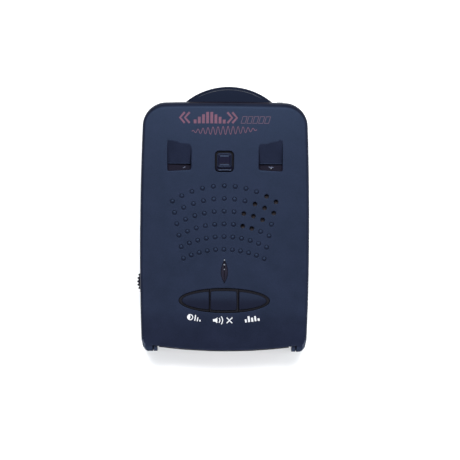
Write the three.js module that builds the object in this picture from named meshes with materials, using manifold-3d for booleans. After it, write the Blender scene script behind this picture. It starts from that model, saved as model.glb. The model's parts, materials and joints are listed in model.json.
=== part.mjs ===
// A dashboard radar detector: a two-part case holding a horn antenna, a laser sensor, a loudspeaker,
// a display and a control board. Three keys and a bracket release press down, and a thumbwheel turns.
// Millimetres. +Y faces the road, +X is to the driver's right, +Z is up; z = 0 is the flat underside.
import * as THREE from "three";
import { mergeVertices } from "three/addons/utils/BufferGeometryUtils.js";
import Module from "manifold-3d";

const wasm = await Module();
wasm.setup();

// ---- Driving dimensions -------------------------------------------------------------------------

const GAP = 0.3; // clearance between two parts that rest against each other

// Case plan
const HALF_WIDTH = 34.75; // at the widest line
const WIDEST_Y = -5;
const SIDE_RADIUS_FRONT = 1300; // bow of the long sides ahead of the widest line
const SIDE_RADIUS_REAR = 1000;
const FRONT_Y = 51.4;
const FRONT_RADIUS = 900; // bow of the front edge
const FRONT_CORNER = 9.4;
const VISOR_Y = -50.7; // apex of the visor over the display
const VISOR_RADIUS = 211;
const REAR_CORNER = 2.2;
const SILL_Y = -48.3; // apex of the lower case's rear lip

// Case heights
const TOP = 31;
const CROWN_ACROSS = 0.9; // the top falls this much from the middle to the sides
const REAR_FALL = 1.6;
const REAR_FALL_FROM = -34;
const FRONT_FALL = 0.5;
const FRONT_FALL_FROM = 30;
const PARTING_Z = 16;
const WALL = 2;
const SIDE_STEPS = 7; // straight lengths that a long side is drawn with
const END_STEPS = 5; // the same for half of the front or rear edge
const TOP_DRAFT = 0.12;
const BASE_DRAFT = 0.45;
const TOP_EDGE = 1.3; // edge radius of the upper case
const BASE_EDGE = 1.2;

// Ears beside the display: both halves of the case carry one, and the upper one runs on from the top
const EAR_FRONT_Y = -44.6;
const EAR_REAR_Y = -51.05;
const EAR_INNER_X = 29.3;
const EAR_EDGE = 0.7; // edge radius of the upper ear

// Front window, a D-shaped snout set off centre so that it covers both the horn and the laser sensor
const WINDOW_X = 1.45;
const WINDOW_RADIUS = 28;
const WINDOW_APEX_Y = 57.5;
const WINDOW_HALF = 17.6;
const WINDOW_LOW_Z = 5.8;
const WINDOW_HIGH_Z = 26.2;
const WINDOW_WALL = 1.6;
const WINDOW_BACK_Y = 46.9;
const WINDOW_FLANGE = 1.7;
const WINDOW_FLANGE_DEPTH = 1;

// Sound holes: a fan of arcs, of which only those over the loudspeaker go through
const FAN_ROWS = 6;
const FAN_SIDE = 5; // holes each side of the middle one
const FAN_RADIUS = 38.5;
const FAN_X = -0.25;
const FAN_FIRST_Y = 16.75;
const FAN_ROW_STEP = 5.2;
const FAN_PITCH = 4.5;
const FAN_PITCH_LOSS = 0.217; // each row is closer set than the one before
const HOLE_RADIUS = 0.85;
const DIMPLE_DEPTH = 0.5;
const OPEN_HOLES = [[4, 5], [3, 4, 5], [2, 3, 4], [2, 3], [], []]; // columns that go through, by row

// Key cluster, an ellipse cut into three caps
const KEYS_Y = -30.1;
const KEYS_HOLE = [18.65, 5.1]; // half axes of the opening
const KEYS_CAPS = [17.35, 4]; // half axes over the caps
const KEYS_FLANGE = [19.8, 6.2];
const KEY_SPANS = {
  dim: { from: -20, to: -6.2, stem: -11.2 },
  mute: { from: -5.6, to: 5.15, stem: -0.2 },
  city: { from: 6.05, to: 20, stem: 11.3 },
};
const KEY_PROUD = 0.45;
const KEY_FLANGE_Z = [27.3, 28.3];
const KEY_STEM_RADIUS = 1.5;
const KEY_STEM_LOW_Z = 21.2;

// Bracket release and the two bracket slots beside it
const RELEASE_HOLE = { x: 0.1, y: 26.9, halfX: 3.95, halfY: 4.5, corner: 1.9 };
const RELEASE_CAP = { x: -0.1, y: 27.4, halfX: 3, halfY: 3, corner: 1.1 };
const RELEASE_TIER = { x: 0.1, y: 26.9, halfX: 3.5, halfY: 4, corner: 1.5 };
const SLOT_INNER_X = 13.9;
const SLOT_OUTER_X = 23.5;
const RAMP_INNER_Y = 33.2;
const RAMP_OUTER_Y = 35.6;
const RAMP_END_Y = 25.9;
const SLOT_END_INNER_Y = 23.45;
const SLOT_END_OUTER_Y = 22.9;
const RAMP_DEPTH = 2.1; // at the middle of the ramp's low end
const SLOT_FLOOR_Z = 24.2;

// Teardrop sensor lens
const DROP_FRONT_Y = -12.75;
const DROP_REAR_Y = -23.1;
const DROP_HALF = 1.65;

// Volume thumbwheel
const WHEEL = { x: -27.8, y: -22.5, radius: 8, low: 19.3, high: 22.3, teeth: 34, tooth: 0.45 };

// Control board and what stands on it
const BOARD_LOW_Z = 15;
const BOARD_HIGH_Z = 16.6;
const ON_BOARD_Z = BOARD_HIGH_Z + GAP;
const SWITCH_HEIGHT = 3.4;
const SWITCH_HALF = 3.1;

// Screws
const CASE_SCREWS = [[-28, 38], [28, 38], [-28, -38.5], [28, -38.5]];
const BOARD_SCREWS = { left: [-24, 4], right: [24, 4] };
const BOARD_POSTS = [[-16, -36], [16, -36]];
const SCREW_HOLE = 1.7;
const SCREW_SHANK = 1.35;

// Power socket in the right side
const JACK = { y: -30, z: 11.2, bore: 1.9, collar: 3.3, hole: 3.8 };

// Horn antenna: a pyramid from throat to mouth
const HORN_X = -2.5;
const HORN_Z = 16;
const HORN_MOUTH = { y: 46.4, halfX: 11.7, halfZ: 8.5 };
const HORN_THROAT = { y: 22, halfX: 6, halfZ: 4 };
const HORN_WALL = 1.2;

// Laser sensor
const LASER_X = 14.4;
const LASER_Z = 16;

// Loudspeaker under the open sound holes
const SPEAKER_X = 14.1;
const SPEAKER_Y = 6;
const SPEAKER_RADIUS = 11.5;

// Display
const BEZEL_HALF = 29.1;
const BEZEL_FACE_Y = -46.6;
const BEZEL_BACK_Y = -43;
const BEZEL_LOW_Z = 2.3;
const BEZEL_HIGH_Z = 27.1;
const POST_INNER_X = 27.5;
const POST_OUTER_X = 28.9;
const POST_TOP_Z = 26.3;
const HOOD_HALF = 26.6; // the bezel's hood lies under the visor and shows as a dark line behind it
const HOOD_REAR_Y = -51.05;
const HOOD_THICKNESS = 0.9;

// ---- Materials ----------------------------------------------------------------------------------

function plastic(color, roughness = 0.6) {
  return new THREE.MeshStandardMaterial({ color, roughness, metalness: 0 });
}
function metal(color, roughness = 0.35) {
  return new THREE.MeshStandardMaterial({ color, roughness, metalness: 1 });
}
const CASE_PLASTIC = plastic(0x2e3650, 0.62);
const KEY_PLASTIC = plastic(0x2b3248, 0.55);
const BLACK_PLASTIC = plastic(0x1d1f26, 0.5);
const SMOKED = new THREE.MeshStandardMaterial({ color: 0x15161f, roughness: 0.08, transparent: true, opacity: 0.8 });
const RED_TINT = new THREE.MeshStandardMaterial({ color: 0x2a060a, roughness: 0.06, transparent: true, opacity: 0.8 });
const CLEAR = new THREE.MeshStandardMaterial({ color: 0x8fa0b4, roughness: 0.05, transparent: true, opacity: 0.4 });
const BOARD_GREEN = plastic(0x14502f, 0.45);
const CHIP_BLACK = plastic(0x16171a, 0.4);
const CAST_ZINC = metal(0x9a9da0, 0.45);
const STEEL = metal(0xb4b7bb, 0.3);
const FELT = plastic(0x101114, 0.95);
const PAPER = plastic(0x9ba0a6, 0.7);
const FERRITE = plastic(0x303236, 0.6);
const CAN_SLEEVE = plastic(0x1c2a55, 0.35);
const LEAD_RED = plastic(0xa01818, 0.5);
const LEAD_BLACK = plastic(0x141414, 0.5);
const BRASS = metal(0xb8923c, 0.35);

// ---- Solid helpers ------------------------------------------------------------------------------

// A closed three.js geometry as a manifold solid.
function solid(geometry) {
  const bare = geometry.clone();
  bare.deleteAttribute("normal");
  bare.deleteAttribute("uv");
  const merged = mergeVertices(bare, 1e-4);
  const faces = [];
  const index = merged.index.array;
  for (let i = 0; i < index.length; i += 3) {
    const [a, b, c] = [index[i], index[i + 1], index[i + 2]];
    if (a !== b && b !== c && a !== c) faces.push(a, b, c);
  }
  const mesh = new wasm.Mesh({
    numProp: 3,
    vertProperties: Float32Array.from(merged.attributes.position.array),
    triVerts: Uint32Array.from(faces),
  });
  return new wasm.Manifold(mesh);
}

// A manifold solid back as a three.js geometry.
function geometryOf(shape) {
  const { numProp, numVert, vertProperties, triVerts } = shape.getMesh();
  const points = new Float32Array(numVert * 3);
  for (let i = 0; i < numVert; i++) {
    points.set(vertProperties.subarray(i * numProp, i * numProp + 3), i * 3);
  }
  const geometry = new THREE.BufferGeometry();
  geometry.setAttribute("position", new THREE.BufferAttribute(points, 3));
  geometry.setIndex(new THREE.BufferAttribute(triVerts, 1));
  geometry.computeVertexNormals();
  return geometry;
}

const join = (...shapes) => shapes.reduce((sum, shape) => sum.add(shape));
const cut = (shape, ...cutters) => cutters.reduce((rest, cutter) => rest.subtract(cutter), shape);

function box(x0, x1, y0, y1, z0, z1) {
  const geometry = new THREE.BoxGeometry(x1 - x0, y1 - y0, z1 - z0);
  geometry.translate((x0 + x1) / 2, (y0 + y1) / 2, (z0 + z1) / 2);
  return solid(geometry);
}

// Upright round bar.
function rod(radius, x, y, z0, z1, sides = 16) {
  const geometry = new THREE.CylinderGeometry(radius, radius, z1 - z0, sides);
  geometry.rotateX(Math.PI / 2).translate(x, y, (z0 + z1) / 2);
  return solid(geometry);
}

// Round bar along X.
function rodX(radius, y, z, x0, x1, sides = 16) {
  const geometry = new THREE.CylinderGeometry(radius, radius, x1 - x0, sides);
  geometry.rotateZ(Math.PI / 2).translate((x0 + x1) / 2, y, z);
  return solid(geometry);
}

// Round bar along Y.
function rodY(radius, x, z, y0, y1, sides = 16) {
  const geometry = new THREE.CylinderGeometry(radius, radius, y1 - y0, sides);
  geometry.translate(x, (y0 + y1) / 2, z);
  return solid(geometry);
}

// Upright prism over a plan outline.
function prism(points, z0, z1) {
  const geometry = new THREE.ExtrudeGeometry(new THREE.Shape(points), { depth: z1 - z0, bevelEnabled: false });
  return solid(geometry.translate(0, 0, z0));
}

// A profile of [radius, height] turned about an upright axis.
function turned(profile, x, y, sides = 20) {
  const geometry = new THREE.LatheGeometry(profile.map(([r, z]) => new THREE.Vector2(r, z)), sides);
  geometry.rotateX(Math.PI / 2).translate(x, y, 0);
  return solid(geometry);
}

// The same, about an axis along Y.
function turnedY(profile, x, z, sides = 16) {
  const geometry = new THREE.LatheGeometry(profile.map(([r, y]) => new THREE.Vector2(r, y)), sides);
  return solid(geometry.translate(x, 0, z));
}

// Closed skin through rings of points, each ring anticlockwise seen from above, from low to high.
function loft(rings) {
  const count = rings[0].length;
  const centreOf = (ring) =>
    ring.reduce((sum, p) => sum.add(p), new THREE.Vector3()).divideScalar(ring.length);
  const points = [...rings.flat(), centreOf(rings[0]), centreOf(rings.at(-1))];
  const lowCentre = rings.length * count;
  const highCentre = lowCentre + 1;
  const faces = [];
  for (let i = 0; i < count; i++) {
    const next = (i + 1) % count;
    faces.push(lowCentre, next, i);
    for (let k = 0; k + 1 < rings.length; k++) {
      const low = k * count;
      const high = low + count;
      faces.push(low + i, low + next, high + next, low + i, high + next, high + i);
    }
    const last = (rings.length - 1) * count;
    faces.push(highCentre, last + i, last + next);
  }
  const geometry = new THREE.BufferGeometry().setFromPoints(points);
  geometry.setIndex(faces);
  return solid(geometry);
}

// ---- Outlines and surfaces ----------------------------------------------------------------------

// Share of the way from `from` to `to`, between 0 and 1.
const share = (value, from, to) => Math.min(1, Math.max(0, (value - from) / (to - from)));

// Height of the case's top surface.
function crown(x, y) {
  const across = CROWN_ACROSS * (x / HALF_WIDTH) ** 2;
  const rear = REAR_FALL * share(y, REAR_FALL_FROM, VISOR_Y) ** 2;
  const front = FRONT_FALL * share(y, FRONT_FALL_FROM, FRONT_Y) ** 2;
  return TOP - across - rear - front;
}

// A quarter-round corner from a to b, both tangent to the lines that meet at the corner point.
function corner(a, point, b, steps) {
  const KAPPA = 0.5523;
  const curve = new THREE.CubicBezierCurve(a, a.clone().lerp(point, KAPPA), b.clone().lerp(point, KAPPA), b);
  return curve.getPoints(steps);
}

// Case outline seen from above, drawn `inset` inside the widest line, with its rear apex at rearY.
function caseOutline(inset, rearY = VISOR_Y) {
  const side = (y) => {
    const radius = y > WIDEST_Y ? SIDE_RADIUS_FRONT : SIDE_RADIUS_REAR;
    return HALF_WIDTH - inset - (y - WIDEST_Y) ** 2 / (2 * radius);
  };
  const front = (x) => FRONT_Y - inset - x ** 2 / (2 * FRONT_RADIUS);
  const rear = (x) => rearY + inset + x ** 2 / (2 * VISOR_RADIUS);
  const rearRound = Math.max(0.5, REAR_CORNER - inset);
  const frontRound = Math.max(0.5, FRONT_CORNER - inset);
  const rearX = side(rearY) - rearRound;
  const rearSideY = rear(rearX) + rearRound;
  const frontX = side(FRONT_Y) - frontRound;
  const frontSideY = front(frontX) - frontRound;
  const half = [];
  for (let i = 0; i < END_STEPS; i++) {
    const x = (rearX * i) / END_STEPS;
    half.push(new THREE.Vector2(x, rear(x)));
  }
  half.push(...corner(
    new THREE.Vector2(rearX, rear(rearX)),
    new THREE.Vector2(side(rearY), rear(rearX)),
    new THREE.Vector2(side(rearSideY), rearSideY), 3));
  for (let i = 1; i < SIDE_STEPS; i++) {
    const y = THREE.MathUtils.lerp(rearSideY, frontSideY, i / SIDE_STEPS);
    half.push(new THREE.Vector2(side(y), y));
  }
  half.push(...corner(
    new THREE.Vector2(side(frontSideY), frontSideY),
    new THREE.Vector2(side(FRONT_Y), front(frontX)),
    new THREE.Vector2(frontX, front(frontX)), 5));
  for (let i = END_STEPS - 1; i > 0; i--) {
    const x = (frontX * i) / END_STEPS;
    half.push(new THREE.Vector2(x, front(x)));
  }
  const mirrored = half.slice(1).reverse().map((p) => new THREE.Vector2(-p.x, p.y));
  return [...half, new THREE.Vector2(0, front(0)), ...mirrored];
}

// An outline as a ring in space, with its height from a number or a function of x and y.
function ring(outline, height) {
  const z = typeof height === "function" ? height : () => height;
  return outline.map((p) => new THREE.Vector3(p.x, p.y, z(p.x, p.y)));
}

// Rings that close a top surface of the given height over an outline, so that the crown shows.
function crownRings(outline, height, scales = [0.8, 0.6, 0.35]) {
  return scales.map((scale) => ring(outline.map((p) => p.clone().multiplyScalar(scale)), height));
}

function ellipse(halfX, halfY, y, points = 40) {
  return new THREE.EllipseCurve(0, y, halfX, halfY, 0, 2 * Math.PI).getPoints(points).slice(0, -1);
}

function roundedRectangle({ x, y, halfX, halfY, corner: round }) {
  const shape = new THREE.Shape();
  shape.absarc(x + halfX - round, y + halfY - round, round, 0, Math.PI / 2);
  shape.absarc(x - halfX + round, y + halfY - round, round, Math.PI / 2, Math.PI);
  shape.absarc(x - halfX + round, y - halfY + round, round, Math.PI, 1.5 * Math.PI);
  shape.absarc(x + halfX - round, y - halfY + round, round, 1.5 * Math.PI, 2 * Math.PI);
  return shape.getPoints(5).filter((p, i, all) => i === 0 || p.distanceTo(all[i - 1]) > 1e-3);
}

// Teardrop of the sensor lens, grown outwards by `grow`.
function dropOutline(grow) {
  const STEPS = 12;
  const halfAt = (u) => (DROP_HALF + grow) * Math.sin(Math.PI * u ** 0.75);
  const yAt = (u) => THREE.MathUtils.lerp(DROP_FRONT_Y + grow, DROP_REAR_Y - grow, u);
  const right = [];
  for (let i = 0; i < STEPS; i++) right.push(new THREE.Vector2(halfAt(i / STEPS), yAt(i / STEPS)));
  const left = [];
  for (let i = STEPS; i > 0; i--) left.push(new THREE.Vector2(-halfAt(i / STEPS), yAt(i / STEPS)));
  return [...right, ...left].reverse();
}

// Sound holes: [x, y, goes through].
function soundHoles() {
  const holes = [];
  for (let row = 0; row < FAN_ROWS; row++) {
    const pitch = FAN_PITCH - FAN_PITCH_LOSS * row;
    for (let column = -FAN_SIDE; column <= FAN_SIDE; column++) {
      const angle = (column * pitch) / FAN_RADIUS;
      const x = FAN_X + FAN_RADIUS * Math.sin(angle);
      const y = FAN_FIRST_Y - row * FAN_ROW_STEP - FAN_RADIUS * (1 - Math.cos(angle));
      holes.push([x, y, OPEN_HOLES[row].includes(column)]);
    }
  }
  return holes;
}

// Height of the bracket ramp's plane on one side: sign is 1 for the right slot and -1 for the left.
function rampHeight(sign) {
  const a = new THREE.Vector3(SLOT_INNER_X, RAMP_INNER_Y, crown(SLOT_INNER_X, RAMP_INNER_Y) + 0.06);
  const b = new THREE.Vector3(SLOT_OUTER_X, RAMP_OUTER_Y, crown(SLOT_OUTER_X, RAMP_OUTER_Y) + 0.06);
  const midX = (SLOT_INNER_X + SLOT_OUTER_X) / 2;
  const c = new THREE.Vector3(midX, RAMP_END_Y, crown(midX, RAMP_END_Y) - RAMP_DEPTH);
  const normal = b.clone().sub(a).cross(c.clone().sub(a));
  return (x, y) => a.z - (normal.x * (sign * x - a.x) + normal.y * (y - a.y)) / normal.z;
}

// The four corners of a slot seen from above, anticlockwise, between two heights across its length.
function slotOutline(sign, rearInner, rearOuter, frontInner, frontOuter) {
  const points = [
    new THREE.Vector2(sign * SLOT_INNER_X, rearInner),
    new THREE.Vector2(sign * SLOT_OUTER_X, rearOuter),
    new THREE.Vector2(sign * SLOT_OUTER_X, frontOuter),
    new THREE.Vector2(sign * SLOT_INNER_X, frontInner),
  ];
  return sign > 0 ? points : points.reverse();
}

// ---- Case ---------------------------------------------------------------------------------------

function upperEnvelope() {
  const rings = [ring(caseOutline(0), PARTING_Z + GAP / 2)];
  let outline;
  for (const angle of [0, 30, 60, 90].map(THREE.MathUtils.degToRad)) {
    outline = caseOutline(TOP_DRAFT + TOP_EDGE * (1 - Math.cos(angle)));
    rings.push(ring(outline, (x, y) => crown(x, y) - TOP_EDGE * (1 - Math.sin(angle))));
  }
  return loft([...rings, ...crownRings(outline, crown)]);
}

function upperCavity() {
  const ceiling = (x, y) => crown(x, y) - WALL;
  const OPEN_REAR_Y = VISOR_Y - 10;
  const outline = caseOutline(WALL + TOP_DRAFT, OPEN_REAR_Y);
  return loft([
    ring(caseOutline(WALL, OPEN_REAR_Y), PARTING_Z - 1),
    ring(outline, ceiling),
    ...crownRings(outline, ceiling, [0.5]),
  ]);
}

// The D-shaped window's plan, grown outwards by `grow` and closed along backY.
function windowOutline(grow, backY) {
  const radius = WINDOW_RADIUS + grow;
  const centreY = WINDOW_APEX_Y - WINDOW_RADIUS;
  const half = WINDOW_HALF + grow;
  const reach = Math.asin(half / radius);
  const arc = new THREE.EllipseCurve(
    WINDOW_X, centreY, radius, radius, Math.PI / 2 - reach, Math.PI / 2 + reach);
  return [
    new THREE.Vector2(WINDOW_X - half, backY),
    new THREE.Vector2(WINDOW_X + half, backY),
    ...arc.getPoints(24),
  ];
}

function frontOpening() {
  return box(WINDOW_X - WINDOW_HALF - GAP, WINDOW_X + WINDOW_HALF + GAP, WINDOW_BACK_Y, FRONT_Y + 2,
    WINDOW_LOW_Z - GAP, WINDOW_HIGH_Z + GAP);
}

function topShell() {
  const envelope = upperEnvelope();
  let shell = cut(envelope, upperCavity());
  const bosses = CASE_SCREWS.map(([x, y]) => rod(3.6, x, y, PARTING_Z + GAP / 2, TOP).intersect(envelope));
  const rampBlocks = [1, -1].map((sign) =>
    prism(slotOutline(sign, RAMP_END_Y, RAMP_END_Y, RAMP_INNER_Y + 1.5, RAMP_OUTER_Y + 1.5), 26.4, 29));
  shell = join(shell, ...bosses, ...rampBlocks, upperEar(1), upperEar(-1));

  const cutters = [frontOpening()];
  for (const [x, y] of CASE_SCREWS) cutters.push(rod(SCREW_HOLE, x, y, PARTING_Z - 1, 26));
  for (const [x, y, open] of soundHoles()) {
    if (open) {
      cutters.push(rod(HOLE_RADIUS, x, y, TOP - 5, TOP + 1, 10));
    } else {
      cutters.push(rod(HOLE_RADIUS, x, y, crown(x, y) - DIMPLE_DEPTH, TOP + 1, 5));
    }
  }
  cutters.push(prism(ellipse(...KEYS_HOLE, KEYS_Y), TOP - 5, TOP + 1));
  cutters.push(prism(roundedRectangle(RELEASE_HOLE), TOP - 5, TOP + 1));
  cutters.push(prism(dropOutline(0), TOP - 5, TOP + 1));
  for (const sign of [1, -1]) {
    const ramp = slotOutline(sign, RAMP_END_Y, RAMP_END_Y, RAMP_INNER_Y, RAMP_OUTER_Y);
    cutters.push(loft([ring(ramp, rampHeight(sign)), ring(ramp, TOP + 1)]));
    const pit = slotOutline(sign, SLOT_END_INNER_Y, SLOT_END_OUTER_Y, RAMP_END_Y + 0.01, RAMP_END_Y + 0.01);
    cutters.push(prism(pit, 25, TOP + 1));
  }
  // Room for the thumbwheel.
  const { x, y, low, high } = WHEEL;
  cutters.push(box(-HALF_WIDTH - 1, x, y - 5.9, y + 5.9, low - 0.5, high + 0.5));
  cutters.push(box(-33.3, x, y - 7.2, y + 7.2, low - 0.7, high + 0.7));
  return cut(shell, ...cutters);
}

// One ear's plan outline, drawn `inset` inside. The outer face carries on the case's side and turns in
// at the rear.
function earOutline(sign, inset = 0) {
  const points = [
    new THREE.Vector2(EAR_INNER_X, EAR_FRONT_Y),
    new THREE.Vector2(EAR_INNER_X, EAR_REAR_Y + inset),
    new THREE.Vector2(31.2 - 0.4 * inset, EAR_REAR_Y + 0.05 + 0.95 * inset),
    new THREE.Vector2(31.95 - 0.6 * inset, EAR_REAR_Y + 0.4 + 0.8 * inset),
    new THREE.Vector2(32.65 - 0.7 * inset, EAR_REAR_Y + 1.1 + 0.7 * inset),
    new THREE.Vector2(33.3 - 0.85 * inset, EAR_REAR_Y + 1.95 + 0.5 * inset),
    new THREE.Vector2(33.5 - inset, EAR_REAR_Y + 2.9 + 0.2 * inset),
    new THREE.Vector2(33.82 - inset, EAR_REAR_Y + 4.6),
    new THREE.Vector2(33.6 - inset, EAR_FRONT_Y),
  ].map((p) => p.setX(sign * p.x));
  return sign > 0 ? points : points.reverse();
}

// The ear of the upper case, whose top runs on from the case's crown.
function upperEar(sign) {
  const top = (x, y) => crown(x, y) - 0.02;
  const rings = [ring(earOutline(sign), PARTING_Z + GAP / 2)];
  for (const angle of [0, 45, 90].map(THREE.MathUtils.degToRad)) {
    const outline = earOutline(sign, EAR_EDGE * (1 - Math.cos(angle)));
    rings.push(ring(outline, (x, y) => top(x, y) - EAR_EDGE * (1 - Math.sin(angle))));
  }
  return loft(rings);
}

function bottomShell() {
  const high = PARTING_Z - GAP / 2;
  const envelope = loft([
    ring(caseOutline(BASE_DRAFT + BASE_EDGE, SILL_Y), 0),
    ring(caseOutline(BASE_DRAFT + 0.3 * BASE_EDGE, SILL_Y), 0.3 * BASE_EDGE),
    ring(caseOutline(BASE_DRAFT, SILL_Y), BASE_EDGE),
    ring(caseOutline(0, SILL_Y), high),
  ]);
  const OPEN_REAR_Y = SILL_Y - 10;
  const cavity = loft([
    ring(caseOutline(WALL + BASE_DRAFT, OPEN_REAR_Y), WALL),
    ring(caseOutline(WALL, OPEN_REAR_Y), high + 1),
  ]);
  const ears = [1, -1].map((sign) => prism(earOutline(sign), 0, high));
  const towers = CASE_SCREWS.map(([x, y]) => rod(4.2, x, y, 0.5, high).intersect(envelope));
  const posts = [...Object.values(BOARD_SCREWS), ...BOARD_POSTS].map(([x, y]) =>
    rod(2.6, x, y, 1, BOARD_LOW_Z - GAP, 14));
  const nub = rod(2.3, 22.3, FRONT_Y - 2.25, 8, high - 1).subtract(box(15, 30, 40, FRONT_Y - 1.5, 0, 20));
  const shell = join(cut(envelope, cavity), ...ears, ...towers, ...posts, nub);
  const cutters = [frontOpening()];
  for (const [x, y] of CASE_SCREWS) {
    cutters.push(rod(3.1, x, y, -1, 4.7), rod(SCREW_HOLE, x, y, 4, PARTING_Z + 1));
  }
  for (const [x, y] of Object.values(BOARD_SCREWS)) {
    cutters.push(rod(SCREW_HOLE - 0.4, x, y, 6, PARTING_Z, 14));
  }
  cutters.push(rodX(JACK.hole, JACK.y, JACK.z, 30, HALF_WIDTH + 1));
  cutters.push(box(-16, 16, -32, -12, -1, 0.5));
  return cut(shell, ...cutters);
}

function frontWindow() {
  const { LOW, HIGH } = { LOW: WINDOW_LOW_Z, HIGH: WINDOW_HIGH_Z };
  const EASE = 0.8; // rounding of the snout's top and bottom edges
  const outer = loft([
    ring(windowOutline(-EASE, WINDOW_BACK_Y), LOW),
    ring(windowOutline(-0.25 * EASE, WINDOW_BACK_Y), LOW + 0.25 * EASE),
    ring(windowOutline(0, WINDOW_BACK_Y), LOW + EASE),
    ring(windowOutline(0, WINDOW_BACK_Y), HIGH - EASE),
    ring(windowOutline(-0.25 * EASE, WINDOW_BACK_Y), HIGH - 0.25 * EASE),
    ring(windowOutline(-EASE, WINDOW_BACK_Y), HIGH),
  ]);
  const flange = box(WINDOW_X - WINDOW_HALF - WINDOW_FLANGE, WINDOW_X + WINDOW_HALF + WINDOW_FLANGE,
    WINDOW_BACK_Y, WINDOW_BACK_Y + WINDOW_FLANGE_DEPTH, LOW - WINDOW_FLANGE, HIGH + WINDOW_FLANGE);
  const hollow = prism(windowOutline(-WINDOW_WALL, WINDOW_BACK_Y - 1), LOW + WINDOW_WALL, HIGH - WINDOW_WALL);
  return cut(join(outer, flange), hollow);
}

function rearBezel() {
  const plate = box(-BEZEL_HALF, BEZEL_HALF, BEZEL_FACE_Y, BEZEL_BACK_Y, BEZEL_LOW_Z, BEZEL_HIGH_Z);
  const posts = [1, -1].map((sign) => {
    const [x0, x1] = [sign * POST_INNER_X, sign * POST_OUTER_X].sort((a, b) => a - b);
    return box(x0, x1, EAR_REAR_Y + 0.15, BEZEL_FACE_Y + 1, BEZEL_LOW_Z, POST_TOP_Z);
  });
  const sight = box(-25.6, 25.6, BEZEL_FACE_Y - 1, BEZEL_BACK_Y + 1, 6.8, 23.6);
  const rebate = box(-26.9, 26.9, BEZEL_FACE_Y + 1.4, BEZEL_BACK_Y + 1, 5.6, 24.8);
  return cut(join(plate, ...posts, visorHood()), sight, rebate);
}

// A thin shelf that lines the underside of the visor and reaches just behind its edge.
function visorHood() {
  const rear = [];
  for (let i = 0; i <= 2 * END_STEPS; i++) {
    const x = HOOD_HALF * (i / END_STEPS - 1);
    rear.push(new THREE.Vector2(x, HOOD_REAR_Y + x ** 2 / (2 * VISOR_RADIUS)));
  }
  const front = rear.map((p) => new THREE.Vector2(p.x, BEZEL_FACE_Y + 1)).reverse();
  const top = (x, y) => Math.min(crown(x, y) - WALL - GAP, BEZEL_HIGH_Z);
  const outline = [...rear, ...front];
  return loft([ring(outline, (x, y) => top(x, y) - HOOD_THICKNESS), ring(outline, top)]);
}

// ---- Bracket slots and release ------------------------------------------------------------------

function bracketGuide(sign) {
  const [x0, x1] = [sign * (SLOT_INNER_X - 0.7), sign * (SLOT_OUTER_X + 0.7)].sort((a, b) => a - b);
  const block = box(x0, x1, 17.5, 25.6, SLOT_FLOOR_Z - 1, 28.2);
  return cut(block, box(x0 + 1, x1 - 1, 18.5, 30, SLOT_FLOOR_Z, 30));
}

function releaseButton() {
  const TRAVEL_STOP_Z = 27.3;
  const cap = prism(roundedRectangle(RELEASE_CAP), 28, TOP + 0.35);
  const tier = prism(roundedRectangle(RELEASE_TIER), 28, 29.4);
  const flange = box(-4.5, 4.5, 23.5, 31.5, TRAVEL_STOP_Z, 28.3);
  const dish = box(-2.1, 1.7, 25.5, 29.5, TOP - 0.25, TOP + 2);
  const springSeat = rod(2.6, 0, 27.5, TRAVEL_STOP_Z - 1, TRAVEL_STOP_Z + 0.4, 16);
  return cut(join(cap, tier, flange), dish, springSeat);
}

function releaseRetainer() {
  const block = box(-6.2, 6.2, 21.5, 33, 22.7, 28.4);
  return cut(block, box(-4.9, 4.9, 22.7, 31.8, 23.6, 30));
}

function coilSpring(x, y, z0, z1, radius, wire, turns) {
  class Helix extends THREE.Curve {
    getPoint(t, target = new THREE.Vector3()) {
      const angle = 2 * Math.PI * turns * t;
      return target.set(x + radius * Math.cos(angle), y + radius * Math.sin(angle), z0 + (z1 - z0) * t);
    }
  }
  return tube(new Helix(), wire / 2, turns * 12, 5);
}

// A round bar along a curve.
function tube(curve, radius, steps, sides = 8) {
  const section = new THREE.Shape(new THREE.EllipseCurve(0, 0, radius, radius).getPoints(sides).slice(0, -1));
  return solid(new THREE.ExtrudeGeometry(section, { steps, extrudePath: curve, bevelEnabled: false }));
}

// ---- Keys and thumbwheel ------------------------------------------------------------------------

function keyCap({ from, to, stem }) {
  const window = box(from, to, KEYS_Y - 10, KEYS_Y + 10, 15, TOP + 2);
  const capTop = TOP + KEY_PROUD;
  const cap = loft([
    ring(ellipse(...KEYS_CAPS, KEYS_Y), 28),
    ring(ellipse(...KEYS_CAPS, KEYS_Y), capTop - 0.75),
    ring(ellipse(KEYS_CAPS[0] - 0.35, KEYS_CAPS[1] - 0.35, KEYS_Y), capTop - 0.35),
    ring(ellipse(KEYS_CAPS[0] - 1.6, KEYS_CAPS[1] - 1.6, KEYS_Y), capTop),
  ]);
  const flange = prism(ellipse(...KEYS_FLANGE, KEYS_Y), ...KEY_FLANGE_Z);
  const stemRod = rod(KEY_STEM_RADIUS, stem, KEYS_Y, KEY_STEM_LOW_Z, KEY_FLANGE_Z[0] + 0.5, 14);
  return join(join(cap, flange).intersect(window), stemRod);
}

function keyGuide() {
  const plate = prism(ellipse(KEYS_FLANGE[0] + 1, KEYS_FLANGE[1] + 1, KEYS_Y), 25, 26.3);
  const holes = Object.values(KEY_SPANS).map(({ stem }) => rod(KEY_STEM_RADIUS + GAP, stem, KEYS_Y, 24, 27, 14));
  return cut(plate, ...holes);
}

function tactSwitch(x, y) {
  const body = box(x - SWITCH_HALF, x + SWITCH_HALF, y - SWITCH_HALF, y + SWITCH_HALF,
    ON_BOARD_Z, ON_BOARD_Z + SWITCH_HEIGHT);
  return cut(body, rod(1.95, x, y, ON_BOARD_Z + SWITCH_HEIGHT - 1.2, ON_BOARD_Z + 5, 14));
}

function plunger(x, y) {
  const low = ON_BOARD_Z + SWITCH_HEIGHT - 0.65;
  return rod(1.6, x, y, low, KEY_STEM_LOW_Z - GAP, 14);
}

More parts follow.
